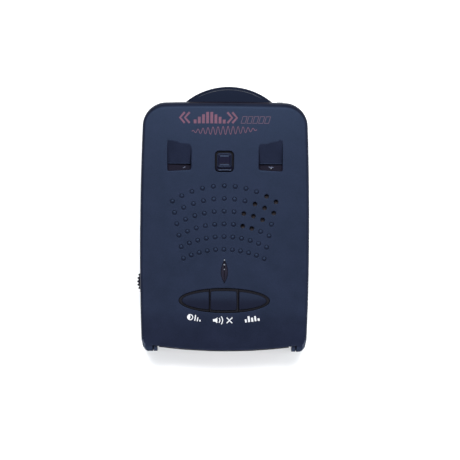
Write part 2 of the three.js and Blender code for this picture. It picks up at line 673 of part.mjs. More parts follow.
function thumbwheel() {
  const { x, y, radius, low, high, teeth, tooth } = WHEEL;
  const rim = [];
  for (let i = 0; i < 2 * teeth; i++) {
    const angle = (Math.PI * i) / teeth;
    const r = i % 2 ? radius - tooth : radius;
    rim.push(new THREE.Vector2(x + r * Math.cos(angle), y + r * Math.sin(angle)));
  }
  const disc = prism(rim, low, high);
  const shaft = rod(1.5, x, y, low - 1.6, low + 0.5, 14);
  return cut(join(disc, shaft), rod(1.3, x, y, low + 0.8, high + 1, 12));
}

function volumePot() {
  const { x, y, low } = WHEEL;
  const body = rod(4.6, x, y, ON_BOARD_Z, low - GAP);
  return cut(body, rod(1.8, x, y, ON_BOARD_Z + 0.3, low, 14));
}

function wheelScrew() {
  const { x, y, high } = WHEEL;
  return join(rod(2.2, x, y, high + 0.2, high + 1.2, 16), rod(1, x, y, high - 1.8, high + 0.5, 10));
}

// ---- Electronics --------------------------------------------------------------------------------

function mainBoard() {
  const notchLeft = -13.6;
  const notchRight = 8.6;
  const plan = [
    [-22.5, -38.2], [22.5, -38.2], [22.5, -33.7], [30, -33.7], [30, 33], [23, 33], [23, 36],
    [notchRight, 36], [notchRight, 0.5], [notchLeft, 0.5], [notchLeft, 36], [-23, 36], [-23, 33],
    [-30, 33], [-30, -33.7], [-22.5, -33.7],
  ].map(([x, y]) => new THREE.Vector2(x, y));
  const holes = Object.values(BOARD_SCREWS).map(([x, y]) => rod(SCREW_HOLE, x, y, 14, 18, 14));
  return cut(prism(plan, BOARD_LOW_Z, BOARD_HIGH_Z), ...holes);
}

function panHeadScrew(x, y, seatZ, headRadius, shankRadius, length, up) {
  // The head lies on the side that `up` gives: 1 above its seat, -1 below it.
  const [headFrom, headTo] = [seatZ, seatZ + up * 1.5].sort((a, b) => a - b);
  const [shankFrom, shankTo] = [seatZ + up * 0.5, seatZ - up * length].sort((a, b) => a - b);
  const slotZ = seatZ + up * 1.5;
  const cross = join(
    box(x - 1.3, x + 1.3, y - 0.3, y + 0.3, slotZ - 0.8, slotZ + 0.8),
    box(x - 0.3, x + 0.3, y - 1.3, y + 1.3, slotZ - 0.8, slotZ + 0.8));
  const screw = join(rod(headRadius, x, y, headFrom, headTo, 18), rod(shankRadius, x, y, shankFrom, shankTo, 12));
  return cut(screw, cross);
}

// A four-sided funnel skin between two openings across Y.
function funnel(mouth, throat) {
  const rectangle = ({ y, halfX, halfZ }) => [
    new THREE.Vector3(HORN_X - halfX, y, HORN_Z + halfZ),
    new THREE.Vector3(HORN_X + halfX, y, HORN_Z + halfZ),
    new THREE.Vector3(HORN_X + halfX, y, HORN_Z - halfZ),
    new THREE.Vector3(HORN_X - halfX, y, HORN_Z - halfZ),
  ];
  return loft([rectangle(throat), rectangle(mouth)]);
}

function hornAntenna() {
  const inside = ({ y, halfX, halfZ }, shift) => ({ y: y + shift, halfX: halfX - HORN_WALL, halfZ: halfZ - HORN_WALL });
  const throatBore = box(HORN_X - 4.8, HORN_X + 4.8, HORN_THROAT.y - 1, HORN_THROAT.y + 1, HORN_Z - 2.8, HORN_Z + 2.8);
  const rearFlange = box(HORN_X - 7.5, HORN_X + 7.5, HORN_THROAT.y, HORN_THROAT.y + 1.5, HORN_Z - 5.5, HORN_Z + 5.5);
  const lip = box(HORN_X - 12.3, HORN_X + 12.3, HORN_MOUTH.y - 1.2, HORN_MOUTH.y, HORN_Z - 9.1, HORN_Z + 9.1);
  const skin = join(funnel(HORN_MOUTH, HORN_THROAT), rearFlange, lip);
  return cut(skin, funnel(inside(HORN_MOUTH, 0.05), inside(HORN_THROAT, -0.05)), throatBore);
}

function mixerHousing() {
  const block = box(HORN_X - 7.5, HORN_X + 7.5, 3, HORN_THROAT.y - GAP, HORN_Z - 5.5, HORN_Z + 5.5);
  const guide = box(HORN_X - 3.8, HORN_X + 3.8, 7, HORN_THROAT.y, HORN_Z - 2.4, HORN_Z + 2.4);
  return cut(block, guide, rod(1.5, HORN_X, 12, HORN_Z + 2, HORN_Z + 7, 12));
}

function laserHolder() {
  const body = box(LASER_X - 3.7, LASER_X + 3.7, 40.8, 46.4, LASER_Z - 3.7, LASER_Z + 3.7);
  return cut(body, rodY(2.9, LASER_X, LASER_Z, 43.4, 47), rodY(2, LASER_X, LASER_Z, 40, 44));
}

function speakerFrame() {
  const R = SPEAKER_RADIUS;
  return turned([[3, 24.7], [R - 3, 24.7], [R - 1.2, 26.6], [R, 26.6], [R, 27.5], [R - 2, 27.5],
    [R - 4, 25.5], [3, 25.5], [3, 24.7]], SPEAKER_X, SPEAKER_Y);
}

function powerJack() {
  const body = box(22.5, 31.6, JACK.y - 3.4, JACK.y + 3.4, 7.9, BOARD_LOW_Z - GAP);
  const collar = rodX(JACK.collar, JACK.y, JACK.z, 31, 33.9);
  return cut(join(body, collar), rodX(JACK.bore, JACK.y, JACK.z, 24, 35, 16));
}

function speakerLead(points) {
  return tube(new THREE.CatmullRomCurve3(points.map((p) => new THREE.Vector3(...p))), 0.45, 14, 6);
}

// ---- Assembly -----------------------------------------------------------------------------------

const detector = new THREE.Group();

function piece(name, shape, material) {
  const mesh = new THREE.Mesh(geometryOf(shape), material);
  mesh.name = name;
  detector.add(mesh);
}

piece("top_shell", topShell(), CASE_PLASTIC);
piece("bottom_shell", bottomShell(), CASE_PLASTIC);
piece("front_window", frontWindow(), SMOKED);
piece("rear_bezel", rearBezel(), BLACK_PLASTIC);
piece("display_window", box(-26.6, 26.6, -44.9, -43.5, 5.9, 24.5), RED_TINT);
piece("underside_label", box(-15.7, 15.7, -31.7, -12.3, 0.05, 0.2), PAPER);
CASE_SCREWS.forEach(([x, y], i) => {
  piece(`case_screw_${i + 1}`, panHeadScrew(x, y, 4.4, 2.7, SCREW_SHANK, 20, -1), STEEL);
});

piece("bracket_guide_left", bracketGuide(-1), BLACK_PLASTIC);
piece("bracket_guide_right", bracketGuide(1), BLACK_PLASTIC);
piece("release_button", releaseButton(), KEY_PLASTIC);
piece("release_retainer", releaseRetainer(), BLACK_PLASTIC);
piece("release_spring", coilSpring(0, 27.5, 24.1, 27.2, 1.9, 0.4, 3), STEEL);

const sensorLens = join(
  prism(dropOutline(-0.15), 28.4, TOP + 0.25),
  prism(dropOutline(0.9), 27.4, 28.5),
  rod(1.4, 0, -17, 19.5, 27.6, 14));
piece("sensor_lens", sensorLens, CLEAR);
piece("sensor_diode", box(-2, 2, -19, -15, ON_BOARD_Z, 19.1), CHIP_BLACK);

piece("key_guide", keyGuide(), BLACK_PLASTIC);
for (const [name, span] of Object.entries(KEY_SPANS)) {
  piece(`${name}_key`, keyCap(span), KEY_PLASTIC);
  piece(`${name}_switch`, tactSwitch(span.stem, KEYS_Y), BLACK_PLASTIC);
  piece(`${name}_plunger`, plunger(span.stem, KEYS_Y), LEAD_RED);
}

piece("volume_wheel", thumbwheel(), BLACK_PLASTIC);
piece("volume_pot", volumePot(), CAST_ZINC);
piece("wheel_screw", wheelScrew(), STEEL);

piece("main_board", mainBoard(), BOARD_GREEN);
for (const [side, [x, y]] of Object.entries(BOARD_SCREWS)) {
  piece(`board_screw_${side}`, panHeadScrew(x, y, BOARD_HIGH_Z + GAP, 2.6, 1, 9, 1), STEEL);
}
piece("horn_antenna", hornAntenna(), CAST_ZINC);
piece("mixer_housing", mixerHousing(), CAST_ZINC);
piece("tuning_screw", join(rod(2.2, HORN_X, 12, HORN_Z + 5.8, HORN_Z + 6.8, 14),
  rod(1.1, HORN_X, 12, HORN_Z + 3, HORN_Z + 6, 10)), BRASS);
piece("laser_holder", laserHolder(), BLACK_PLASTIC);
piece("laser_lens", turnedY([[0, 43.9], [2.5, 43.9], [2.5, 44.7], [1.8, 45.6], [0.9, 46.1], [0, 46.2]],
  LASER_X, LASER_Z), CLEAR);
piece("laser_diode", rodY(2.3, LASER_X, LASER_Z, 37, 40.4), CAST_ZINC);
piece("display_module", box(-23.2, 23.2, -43.1, -38.7, 7.2, 23.2), CHIP_BLACK);
piece("speaker_felt", rod(SPEAKER_RADIUS - 1, SPEAKER_X, SPEAKER_Y, 27.8, 28.1, 20), FELT);
piece("speaker_frame", speakerFrame(), STEEL);
piece("speaker_cone", turned([[0, 26], [2.5, 26], [8, 27], [8.9, 27], [8.9, 27.3], [7.9, 27.3],
  [2.5, 26.3], [0, 26.3]], SPEAKER_X, SPEAKER_Y), FELT);
piece("speaker_magnet", rod(6, SPEAKER_X, SPEAKER_Y, 22.3, 24.4, 20), FERRITE);
piece("power_jack", powerJack(), BLACK_PLASTIC);
piece("processor_chip", box(-15, -3, -22, -10, ON_BOARD_Z, 18.5), CHIP_BLACK);
piece("amplifier_chip", box(9, 15, -14.5, -9.5, ON_BOARD_Z, 18.5), CHIP_BLACK);
piece("regulator", box(20.5, 27, -19, -12.5, ON_BOARD_Z, 19.4), CHIP_BLACK);
piece("supply_coil", rod(4, 22, -4, ON_BOARD_Z, 21.5), FERRITE);
piece("capacitor_large", rod(3.2, -20, 13, ON_BOARD_Z, 25), CAN_SLEEVE);
piece("capacitor_small", rod(2.5, -20, 21, ON_BOARD_Z, 22.6), CAN_SLEEVE);
piece("crystal", box(-26, -15, -6.2, -2, ON_BOARD_Z, 20.4), STEEL);
piece("speaker_socket", box(12.2, 18, -22, -18, ON_BOARD_Z, 21), PAPER);
piece("speaker_lead_red", speakerLead([[13.9, -4.2, 23.6], [13.5, -8, 23.2], [13.4, -14, 24],
  [13.7, -19, 23.4], [13.9, -20, 21.6]]), LEAD_RED);
piece("speaker_lead_black", speakerLead([[16.2, -4.2, 23.6], [16.6, -8, 23.4], [16.8, -14, 23.8],
  [16.5, -19, 23.4], [16.3, -20, 21.6]]), LEAD_BLACK);

export default detector;
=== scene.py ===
"""Looks of the radar detector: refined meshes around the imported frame, materials, light and camera.

Lengths in this file are millimetres until Skin.mesh() turns them into metres.
"""
import json
from math import acos, asin, atan2, cos, dist, pi, radians, sin, sqrt, tan

import bmesh
import bpy
import numpy as np
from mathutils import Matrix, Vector
from mathutils.geometry import delaunay_2d_cdt
from mathutils.kdtree import KDTree


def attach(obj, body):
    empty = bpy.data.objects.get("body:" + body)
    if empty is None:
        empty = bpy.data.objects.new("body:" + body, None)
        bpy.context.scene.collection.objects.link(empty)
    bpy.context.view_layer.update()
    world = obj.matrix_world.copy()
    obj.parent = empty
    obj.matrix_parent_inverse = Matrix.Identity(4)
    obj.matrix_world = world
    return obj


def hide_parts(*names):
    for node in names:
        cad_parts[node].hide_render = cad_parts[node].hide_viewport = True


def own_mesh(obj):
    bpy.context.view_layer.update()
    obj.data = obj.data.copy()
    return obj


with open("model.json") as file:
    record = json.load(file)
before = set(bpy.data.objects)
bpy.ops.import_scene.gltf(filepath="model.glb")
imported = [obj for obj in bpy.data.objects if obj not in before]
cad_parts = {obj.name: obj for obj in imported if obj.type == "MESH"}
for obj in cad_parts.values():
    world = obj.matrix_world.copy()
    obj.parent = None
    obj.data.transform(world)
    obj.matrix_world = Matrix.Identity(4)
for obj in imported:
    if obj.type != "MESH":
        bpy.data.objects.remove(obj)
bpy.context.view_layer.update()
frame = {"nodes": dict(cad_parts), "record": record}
NODES = frame["nodes"]
MM = 0.001
SIDES = (1, -1)

# ---- Dimensions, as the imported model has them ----

HALF_WIDTH = 34.75
WIDEST_Y = -5.0
SIDE_RADIUS_FRONT, SIDE_RADIUS_REAR = 1300.0, 1000.0
FRONT_Y = 51.4
FRONT_RADIUS = 900.0
FRONT_CORNER = 9.4
VISOR_Y = -50.7
VISOR_RADIUS = 211.0
REAR_CORNER = 2.2
SILL_Y = -48.3

TOP = 31.0
CROWN_ACROSS = 0.9
REAR_FALL, REAR_FALL_FROM = 1.6, -34.0
FRONT_FALL, FRONT_FALL_FROM = 0.5, 30.0
PARTING_Z = 16.0
WALL = 2.0
TOP_DRAFT = 0.12
BASE_DRAFT = 0.45
BASE_EDGE = 1.2

WINDOW_X = 1.45
WINDOW_HALF = 17.6
WINDOW_LOW_Z, WINDOW_HIGH_Z = 5.8, 26.2
WINDOW_RADIUS = 28.0
WINDOW_APEX_Y = 57.5

KEYS_Y = -30.1
KEY_SPANS = {"dim": (-20.0, -6.2), "mute": (-5.6, 5.15), "city": (6.05, 20.0)}
KEY_STEP_SPANS = {"dim": (-20.0, -6.2), "mute": (-6.0, 5.85), "city": (6.05, 20.0)}
KEY_STEP_Z, RELEASE_STEP_Z = 30.2, 29.4
CASE_SCREWS = [(-28, 38), (28, 38), (-28, -38.5), (28, -38.5)]

LENS_HALF, LENS_FRONT_Y, LENS_LENGTH = 1.45, -12.75, 10.35
WHEEL_X, WHEEL_Y, WHEEL_R = -27.8, -22.5, 8.0
WHEEL_LOW, WHEEL_HIGH = 19.3, 22.3
BOARD_POSTS = [(-24, 4), (24, 4), (-16, -36), (16, -36)]
JACK_Y, JACK_Z = -30.0, 11.2

SLOT_INNER_X, SLOT_OUTER_X = 13.9, 23.5
RAMP_INNER_Y, RAMP_OUTER_Y, RAMP_END_Y = 33.2, 35.6, 25.9
SLOT_END_INNER_Y, SLOT_END_OUTER_Y = 23.45, 22.9
RAMP_DEPTH = 2.1
EAR_BEND_Y, EAR_FALL = -47.9, 0.085


def share(value, start, end):
    return min(1.0, max(0.0, (value - start) / (end - start)))


def crown(x, y):
    """Height of the case's top surface."""
    across = CROWN_ACROSS * (x / HALF_WIDTH) ** 2
    rear = REAR_FALL * share(y, REAR_FALL_FROM, VISOR_Y) ** 2
    front = FRONT_FALL * share(y, FRONT_FALL_FROM, FRONT_Y) ** 2
    return TOP - across - rear - front


def below_crown(depth):
    """The case's top surface, lowered by a depth."""
    return lambda x, y: crown(x, y) - depth


def dropped(plan, depths):
    """Points of a loop in plan, each at its own depth below the top surface."""
    return [(x, y, crown(x, y) - d) for (x, y), d in zip(plan, depths)]


def quarter(count):
    """Steps up a quarter round, as shares of its radius: how far in, and how far below its top."""
    return [(1 - cos(a), 1 - sin(a)) for a in np.linspace(0, pi / 2, count)]


# ---- Mesh tools ----


def inside(points, loop):
    """Which of the points lie within a closed loop."""
    x, y = points[:, 0], points[:, 1]
    result = np.zeros(len(points), bool)
    for (ax, ay), (bx, by) in zip(loop, np.roll(loop, -1, axis=0)):
        if ay == by:
            continue
        crossing = (ay > y) != (by > y)
        result ^= crossing & (x < (bx - ax) * (y - ay) / (by - ay) + ax)
    return result


def between(points, outer, holes):
    """Which of the points lie within a closed loop and outside the holes in it."""
    keep = inside(points, outer)
    for hole in holes:
        near = np.all((points > hole.min(0)) & (points < hole.max(0)), axis=1)
        keep[near] &= ~inside(points[near], hole)
    return keep


class Skin:
    """The points and faces of a closed surface, in millimetres."""

    def __init__(self):
        self.points = []
        self.faces = []

    def ring(self, points):
        first = len(self.points)
        self.points.extend(tuple(map(float, p)) for p in points)
        return list(range(first, len(self.points)))

    def level(self, loop, height):
        """A loop in plan, lifted to a height that is a number or a function of x and y."""
        lift = height if callable(height) else (lambda x, y: height)
        return self.ring((x, y, lift(x, y)) for x, y in loop)

    def strips(self, rings):
        """A band of faces between each ring and the next."""
        for low, high in zip(rings, rings[1:]):
            for i in range(len(low)):
                j = (i + 1) % len(low)
                self.faces.append((low[i], low[j], high[j], high[i]))

    def cap(self, ring):
        self.faces.append(tuple(ring))

    def close(self, rings):
        """Walls between rings, from low to high, and a lid on each end."""
        self.strips(rings)
        self.cap(rings[0][::-1])
        self.cap(rings[-1])
        return self

    def fill(self, outer, holes, height, spacing):
        """Triangles between a ring and the holes inside it, on a surface of the given height."""
        loops = [outer] + list(holes)
        border = [i for loop in loops for i in loop]
        place = {v: k for k, v in enumerate(border)}
        edges = [(place[a], place[b]) for loop in loops for a, b in zip(loop, loop[1:] + loop[:1])]
        flat = np.array([self.points[i][:2] for i in border])
        plans = [np.array([self.points[i][:2] for i in loop]) for loop in loops]
        grid = self._grid(flat, plans, spacing)
        coords = [Vector(p) for p in [*flat, *grid]]
        verts, _, faces, origin, _, _ = delaunay_2d_cdt(coords, edges, [], 0, 1e-9)
        index = border + self.ring((x, y, height(x, y)) for x, y in grid)
        centres = np.array([np.mean([verts[i] for i in f], axis=0) for f in faces])
        for face, kept in zip(faces, between(centres, plans[0], plans[1:])):
            if kept:
                self.faces.append(tuple(index[origin[i][0]] for i in face))

    @staticmethod
    def _grid(flat, plans, spacing):
        """Staggered points between loops, none of them close to a loop."""
        low, high = plans[0].min(0), plans[0].max(0)
        points = []
        row = 0
        y = low[1] + spacing / 2
        while y < high[1]:
            x = low[0] + spacing * (0.25 + 0.5 * (row % 2))
            while x < high[0]:
                points.append((x, y))
                x += spacing
            y += spacing * 0.866
            row += 1
        if not points:
            return []
        points = np.array(points)
        points = points[between(points, plans[0], plans[1:])]
        tree = KDTree(len(flat))
        for i, p in enumerate(flat):
            tree.insert((p[0], p[1], 0), i)
        tree.balance()
        return [tuple(p) for p in points if tree.find((p[0], p[1], 0))[2] > spacing * 0.55]

    def mesh(self, name):
        data = bpy.data.meshes.new(name)
        data.from_pydata([tuple(c * MM for c in p) for p in self.points], [], self.faces)
        data.validate()
        work = bmesh.new()
        work.from_mesh(data)
        bmesh.ops.remove_doubles(work, verts=work.verts, dist=1e-7)
        bmesh.ops.recalc_face_normals(work, faces=work.faces)
        work.to_mesh(data)
        work.free()
        return data

    def object(self, name):
        obj = bpy.data.objects.new(name, self.mesh(name))
        bpy.context.scene.collection.objects.link(obj)
        return obj


def normals(loop):
    """Inward normals of an anticlockwise loop."""
    loop = np.asarray(loop, float)
    along = np.roll(loop, -1, axis=0) - np.roll(loop, 1, axis=0)
    along /= np.maximum(np.linalg.norm(along, axis=1, keepdims=True), 1e-9)
    return np.stack([-along[:, 1], along[:, 0]], axis=1)


def inset(loop, amount):
    """A loop moved inwards by an amount, which may differ from point to point."""
    return np.asarray(loop, float) + normals(loop) * np.reshape(amount, (-1, 1))


def ellipse(x, y, half_x, half_y, count):
    angles = np.arange(count) * 2 * pi / count
    return np.stack([x + half_x * np.cos(angles), y + half_y * np.sin(angles)], axis=1)


def circle(x, y, radius, count):
    return ellipse(x, y, radius, radius, count)


def rounded(corners, spacing=0.5):
    """An anticlockwise loop through corners (x, y, radius), with points about `spacing` apart."""
    points = []
    count = len(corners)
    for i, (x, y, radius) in enumerate(corners):
        here = np.array([x, y], float)
        before = corners[i - 1][:2] - here
        after = corners[(i + 1) % count][:2] - here
        before /= np.linalg.norm(before)
        after /= np.linalg.norm(after)
        half = acos(float(np.clip(before @ after, -1, 1))) / 2
        reach = radius / tan(half)
        start, end = here + before * reach, here + after * reach
        centre = here + (before + after) / np.linalg.norm(before + after) * radius / sin(half)
        a0 = atan2(*(start - centre)[::-1])
        a1 = atan2(*(end - centre)[::-1])
        turn = (a1 - a0 + pi) % (2 * pi) - pi
        steps = max(4, int(abs(turn) * radius / spacing) + 1)
        for k in range(steps + 1):
            a = a0 + turn * k / steps
            points.append(centre + radius * np.array([cos(a), sin(a)]))
    dense = []
    for a, b in zip(points, points[1:] + points[:1]):
        length = np.linalg.norm(b - a)
        steps = max(1, int(length / spacing))
        dense.extend(a + (b - a) * k / steps for k in range(steps))
    return np.array(dense)


def on_side(loop, sign):
    """A loop of the right side, or its mirror image for the left one, anticlockwise either way."""
    loop = np.asarray(loop, float)
    return loop if sign > 0 else (loop * (-1, 1))[::-1]


def oval(middle, out, half_wide, half_high, count=10):
    """A ring of points in the upright plane through a middle and a horizontal direction."""
    x, y, z = middle
    ring = []
    for a in np.arange(count) * 2 * pi / count:
        wide = half_wide * cos(a)
        ring.append((x + out[0] * wide, y + out[1] * wide, z + half_high * sin(a)))
    return ring


def swept_skin(rings):
    """A closed surface through rings of points."""
    skin = Skin()
    return skin.close([skin.ring(points) for points in rings])


def closed_skin(levels):
    """A closed surface through loops in plan, each with its height, from low to high."""
    skin = Skin()
    return skin.close([skin.level(loop, height) for loop, height in levels])


def box_skin(x0, x1, y0, y1, z0, z1):
    plan = [(x0, y0), (x1, y0), (x1, y1), (x0, y1)]
    return closed_skin([(plan, z0), (plan, z1)])


def prism_skin(loop, levels):
    """A closed prism: levels are (inset, height), from low to high."""
    return closed_skin([(inset(loop, amount), height) for amount, height in levels])


def rod(x, y, radius, low, high, count=24):
    return closed_skin([(circle(x, y, radius, count), low), (circle(x, y, radius, count), high)])


def turned_skin(profile, x, y, count):
    """A profile of (radius, height) turned about an upright axis. It starts and ends near the axis."""
    return closed_skin([(circle(x, y, radius, count), z) for radius, z in profile])


def boolean(obj, operation, *skins):
    """Cuts closed skins from an object or joins them to it."""
    for i, skin in enumerate(skins):
        tool = skin.object(f"tool_{i}")
        modifier = obj.modifiers.new("boolean", "BOOLEAN")
        modifier.operation = operation
        modifier.solver = "MANIFOLD"
        modifier.object = tool
        apply(obj)
        bpy.data.objects.remove(tool)


def apply(obj):
    """Turns an object's modifiers into mesh."""
    graph = bpy.context.evaluated_depsgraph_get()
    made = bpy.data.meshes.new_from_object(obj.evaluated_get(graph))
    old = obj.data
    obj.modifiers.clear()
    obj.data = made
    made.name = old.name
    bpy.data.meshes.remove(old)


def dress(data, paint, sharp):
    """One material, and smooth shading up to an angle between faces."""
    data.materials.clear()
    data.materials.append(paint)
    data.shade_smooth()
    data.set_sharp_from_angle(angle=radians(sharp))


def finish_piece(obj, body, paint, replaces=(), sharp=35.0):
    """Shading, material and body of one visible piece; the imported nodes it replaces are hidden."""
    dress(obj.data, paint, sharp)
    modifier = obj.modifiers.new("normals", "WEIGHTED_NORMAL")
    modifier.keep_sharp = True
    apply(obj)
    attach(obj, body)
    if replaces:
        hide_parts(*replaces)
    return obj


def repaint(obj, paint, chosen):
    """One more material, on the faces whose middle, in millimetres, passes a test."""
    obj.data.materials.append(paint)
    for face in obj.data.polygons:
        if chosen(*(c / MM for c in face.center)):
            face.material_index = len(obj.data.materials) - 1


# ---- Materials ----


def set_inputs(node, values):
    for name, value in values.items():
        node.inputs[name].default_value = value


def moulded(name, color, rough, mottle=0.12, grain=0.16, grain_mm=0.22, spec=0.35, metallic=0.0,
            tint=(1, 1, 1)):
    """A plastic, paint or metal with a fine grain, cloudy tone and uneven gloss."""
    paint = bpy.data.materials.new(name)
    paint.use_nodes = True
    tree = paint.node_tree
    nodes, link = tree.nodes, tree.links.new
    shader = nodes["Principled BSDF"]
    set_inputs(shader, {"Metallic": metallic, "Specular IOR Level": spec, "Specular Tint": (*tint, 1)})
    place = nodes.new("ShaderNodeTexCoord")

    def noise(size_mm, detail):
        texture = nodes.new("ShaderNodeTexNoise")
        set_inputs(texture, {"Scale": 1.0 / (size_mm * MM), "Detail": detail})
        link(place.outputs["Object"], texture.inputs["Vector"])
        return texture.outputs["Fac"]

    def spread(source, low, high):
        ranged = nodes.new("ShaderNodeMapRange")
        set_inputs(ranged, {"From Min": 0.3, "From Max": 0.7, "To Min": low, "To Max": high})
        link(source, ranged.inputs["Value"])
        return ranged.outputs["Result"]

    clouds = noise(7.0, 4.0)
    speckle = noise(0.5, 2.0)
    both = nodes.new("ShaderNodeMath")
    both.operation = "ADD"
    link(spread(clouds, -0.5, 0.5), both.inputs[0])
    link(spread(speckle, -0.5, 0.5), both.inputs[1])
    tone = nodes.new("ShaderNodeValToRGB")
    dark = [c * (1 - mottle) for c in color]
    light = [min(1.0, c * (1 + mottle)) for c in color]
    tone.color_ramp.elements[0].color = (*dark, 1)
    tone.color_ramp.elements[1].color = (*light, 1)
    shifted = nodes.new("ShaderNodeMapRange")
    set_inputs(shifted, {"From Min": -1.0, "From Max": 1.0})
    link(both.outputs[0], shifted.inputs["Value"])
    link(shifted.outputs["Result"], tone.inputs["Fac"])
    link(tone.outputs["Color"], shader.inputs["Base Color"])
    link(spread(clouds, rough - 0.02, rough + 0.02), shader.inputs["Roughness"])
    bump = nodes.new("ShaderNodeBump")
    set_inputs(bump, {"Strength": grain, "Distance": 0.02 * MM})
    link(noise(grain_mm, 3.0), bump.inputs["Height"])
    link(bump.outputs["Normal"], shader.inputs["Normal"])
    return paint


def tinted(name, color, rough, weight):
    """A clear tinted plastic with faint haze."""
    paint = moulded(name, color, rough, mottle=0.05, grain=0.02, grain_mm=3.0, spec=0.12)
    set_inputs(paint.node_tree.nodes["Principled BSDF"], {"Transmission Weight": weight, "IOR": 1.49})
    return paint


SHEEN = (0.36, 0.58, 1.0)
CASE = moulded("case_plastic", (0.0055, 0.0065, 0.0146), 0.42, mottle=0.30, grain=0.6, spec=0.132, tint=SHEEN)
KEYS = moulded("key_plastic", (0.0052, 0.0058, 0.0122), 0.40, mottle=0.07, grain=0.35, grain_mm=0.3,
               spec=0.07, tint=SHEEN)
BLACK = moulded("black_plastic", (0.0052, 0.0046, 0.0098), 0.45, grain=0.25, spec=0.03, tint=(0.6, 0.55, 1.0))
SMOKED = moulded("smoked_plastic", (0.0046, 0.0056, 0.0125), 0.40, mottle=0.08, grain=0.12, grain_mm=0.8,
                 spec=0.04, tint=SHEEN)
BUTTON = moulded("button_plastic", (0.0054, 0.0062, 0.0145), 0.28, mottle=0.1, grain=0.2, spec=0.085,
                 tint=(0.45, 0.65, 1.0))
# Painted shade: a darker, duller tone of the button for its recessed dish and lower faces.
DISH_SHADE = moulded("dish_painted_shade", (0.0038, 0.0041, 0.0125), 0.4, mottle=0.1, grain=0.2, spec=0.02)
LENS = moulded("lens_plastic", (0.0088, 0.0080, 0.0140), 0.25, mottle=0.25, grain=0.05, grain_mm=1.0,
               spec=0.03)
# Painted highlight: a light grey for the bright dots on the teardrop lens.
BEAD_HIGHLIGHT = moulded("bead_painted_highlight", (0.085, 0.095, 0.115), 0.2, mottle=0.06, grain=0.03, grain_mm=0.8, spec=0.3)
# Painted highlight: a lighter tone for the light line inside the window's curved edge.
RIM_HIGHLIGHT = moulded("rim_painted_highlight", (0.026, 0.030, 0.042), 0.3, mottle=0.5, grain=0.2, spec=0.2)
# Painted highlight: a lighter paint for the streak on the ears' outer corners and the fine line on the
# release's rear tier.
EDGE_HIGHLIGHT = moulded("edge_painted_highlight", (0.034, 0.040, 0.060), 0.35, mottle=0.35, grain=0.3, spec=0.25, tint=SHEEN)
# Painted highlight: a lighter tone of the bezel's black, for the light streaks on the posts beside the ears.
POST_HIGHLIGHT = moulded("post_painted_highlight", (0.0110, 0.0125, 0.0235), 0.35, mottle=0.3, grain=0.3, spec=0.2, tint=SHEEN)
# Painted shade: a dull dark grey for the steps that fill the openings around the keys and the release,
# standing in for the shade in those gaps.
GAP_SHADE = moulded("gap_painted_shade", (0.0062, 0.0062, 0.0090), 0.5, grain=0.25, spec=0.03)
# Painted shade: the dark purple of the shaded slots behind the bracket ramps.
LINER_SHADE = moulded("liner_painted_shade", (0.0058, 0.0052, 0.0120), 0.5, grain=0.25, spec=0.03)
WHITE_INK = moulded("white_ink", (0.40, 0.41, 0.43), 0.5, mottle=0.04, grain=0.2)
PINK_INK = moulded("pink_ink", (0.070, 0.026, 0.048), 0.5, mottle=0.25, grain=0.3, spec=0.15)
THIN_INK = moulded("thin_ink", (0.045, 0.026, 0.045), 0.5, mottle=0.25, grain=0.3, spec=0.12)
STEEL = moulded("plated_steel", (0.55, 0.56, 0.58), 0.3, grain=0.15, grain_mm=0.4, metallic=1.0)
DULL_STEEL = moulded("dull_steel", (0.035, 0.040, 0.060), 0.45, grain=0.2, grain_mm=0.4, metallic=1.0)
BRIGHT_STEEL = moulded("bright_steel", (0.09, 0.095, 0.11), 0.35, grain=0.2, grain_mm=0.4, metallic=1.0)
DARK_STEEL = moulded("blackened_steel", (0.020, 0.020, 0.024), 0.35, grain=0.2, metallic=1.0)

SLOT_PAINT = {
    "case_plastic": CASE, "key_plastic": KEYS, "black_plastic": BLACK, "smoked_plastic": SMOKED,
    "screw_steel": STEEL, "speaker_steel": STEEL, "spring_steel": DARK_STEEL,
    "red_filter": tinted("red_filter", (0.22, 0.010, 0.014), 0.08, 0.8),
    "clear_plastic": tinted("clear_plastic", (0.30, 0.36, 0.55), 0.08, 0.55),
    "label_stock": moulded("label_film", (0.42, 0.43, 0.45), 0.34, grain=0.1, grain_mm=0.9),
    "cast_metal": moulded("cast_metal", (0.45, 0.46, 0.48), 0.42, mottle=0.15, grain=0.5, grain_mm=0.6,
                          metallic=1.0),
    "brass": moulded("brass", (0.52, 0.36, 0.12), 0.3, grain=0.15, metallic=1.0),
    "circuit_board": moulded("circuit_board", (0.012, 0.085, 0.035), 0.38, mottle=0.35, grain=0.3,
                             grain_mm=1.2),
    "chip_black": moulded("chip_epoxy", (0.012, 0.012, 0.013), 0.5, grain=0.4),
    "red_plastic": moulded("red_plastic", (0.32, 0.02, 0.016), 0.45),
    "felt": moulded("felt_and_paper", (0.024, 0.020, 0.025), 0.92, mottle=0.4, grain=1.0, grain_mm=0.35),
    "ferrite": moulded("ferrite", (0.035, 0.036, 0.040), 0.55, mottle=0.3, grain=0.6, grain_mm=0.5),
    "capacitor_sleeve": moulded("capacitor_sleeve", (0.015, 0.03, 0.12), 0.3),
    "connector_plastic": moulded("nylon", (0.62, 0.60, 0.52), 0.5),
    "black_insulation": moulded("black_insulation", (0.008, 0.008, 0.008), 0.4),
    "red_insulation": moulded("red_insulation", (0.30, 0.01, 0.01), 0.4),
}


def paint_frame():
    """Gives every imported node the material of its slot."""
    for part in frame["record"]["subparts"]:
        dress(NODES[part["node"]].data, SLOT_PAINT[part["material_slot"]], 30)


# ---- Case ----


def bezier_corner(a, point, b, steps):
    kappa = 0.5523
    a, point, b = map(np.array, (a, point, b))
    p1, p2 = a + (point - a) * kappa, b + (point - b) * kappa
    ts = np.linspace(0, 1, steps + 1)[:, None]
    return (1 - ts) ** 3 * a + 3 * (1 - ts) ** 2 * ts * p1 + 3 * (1 - ts) * ts ** 2 * p2 + ts ** 3 * b


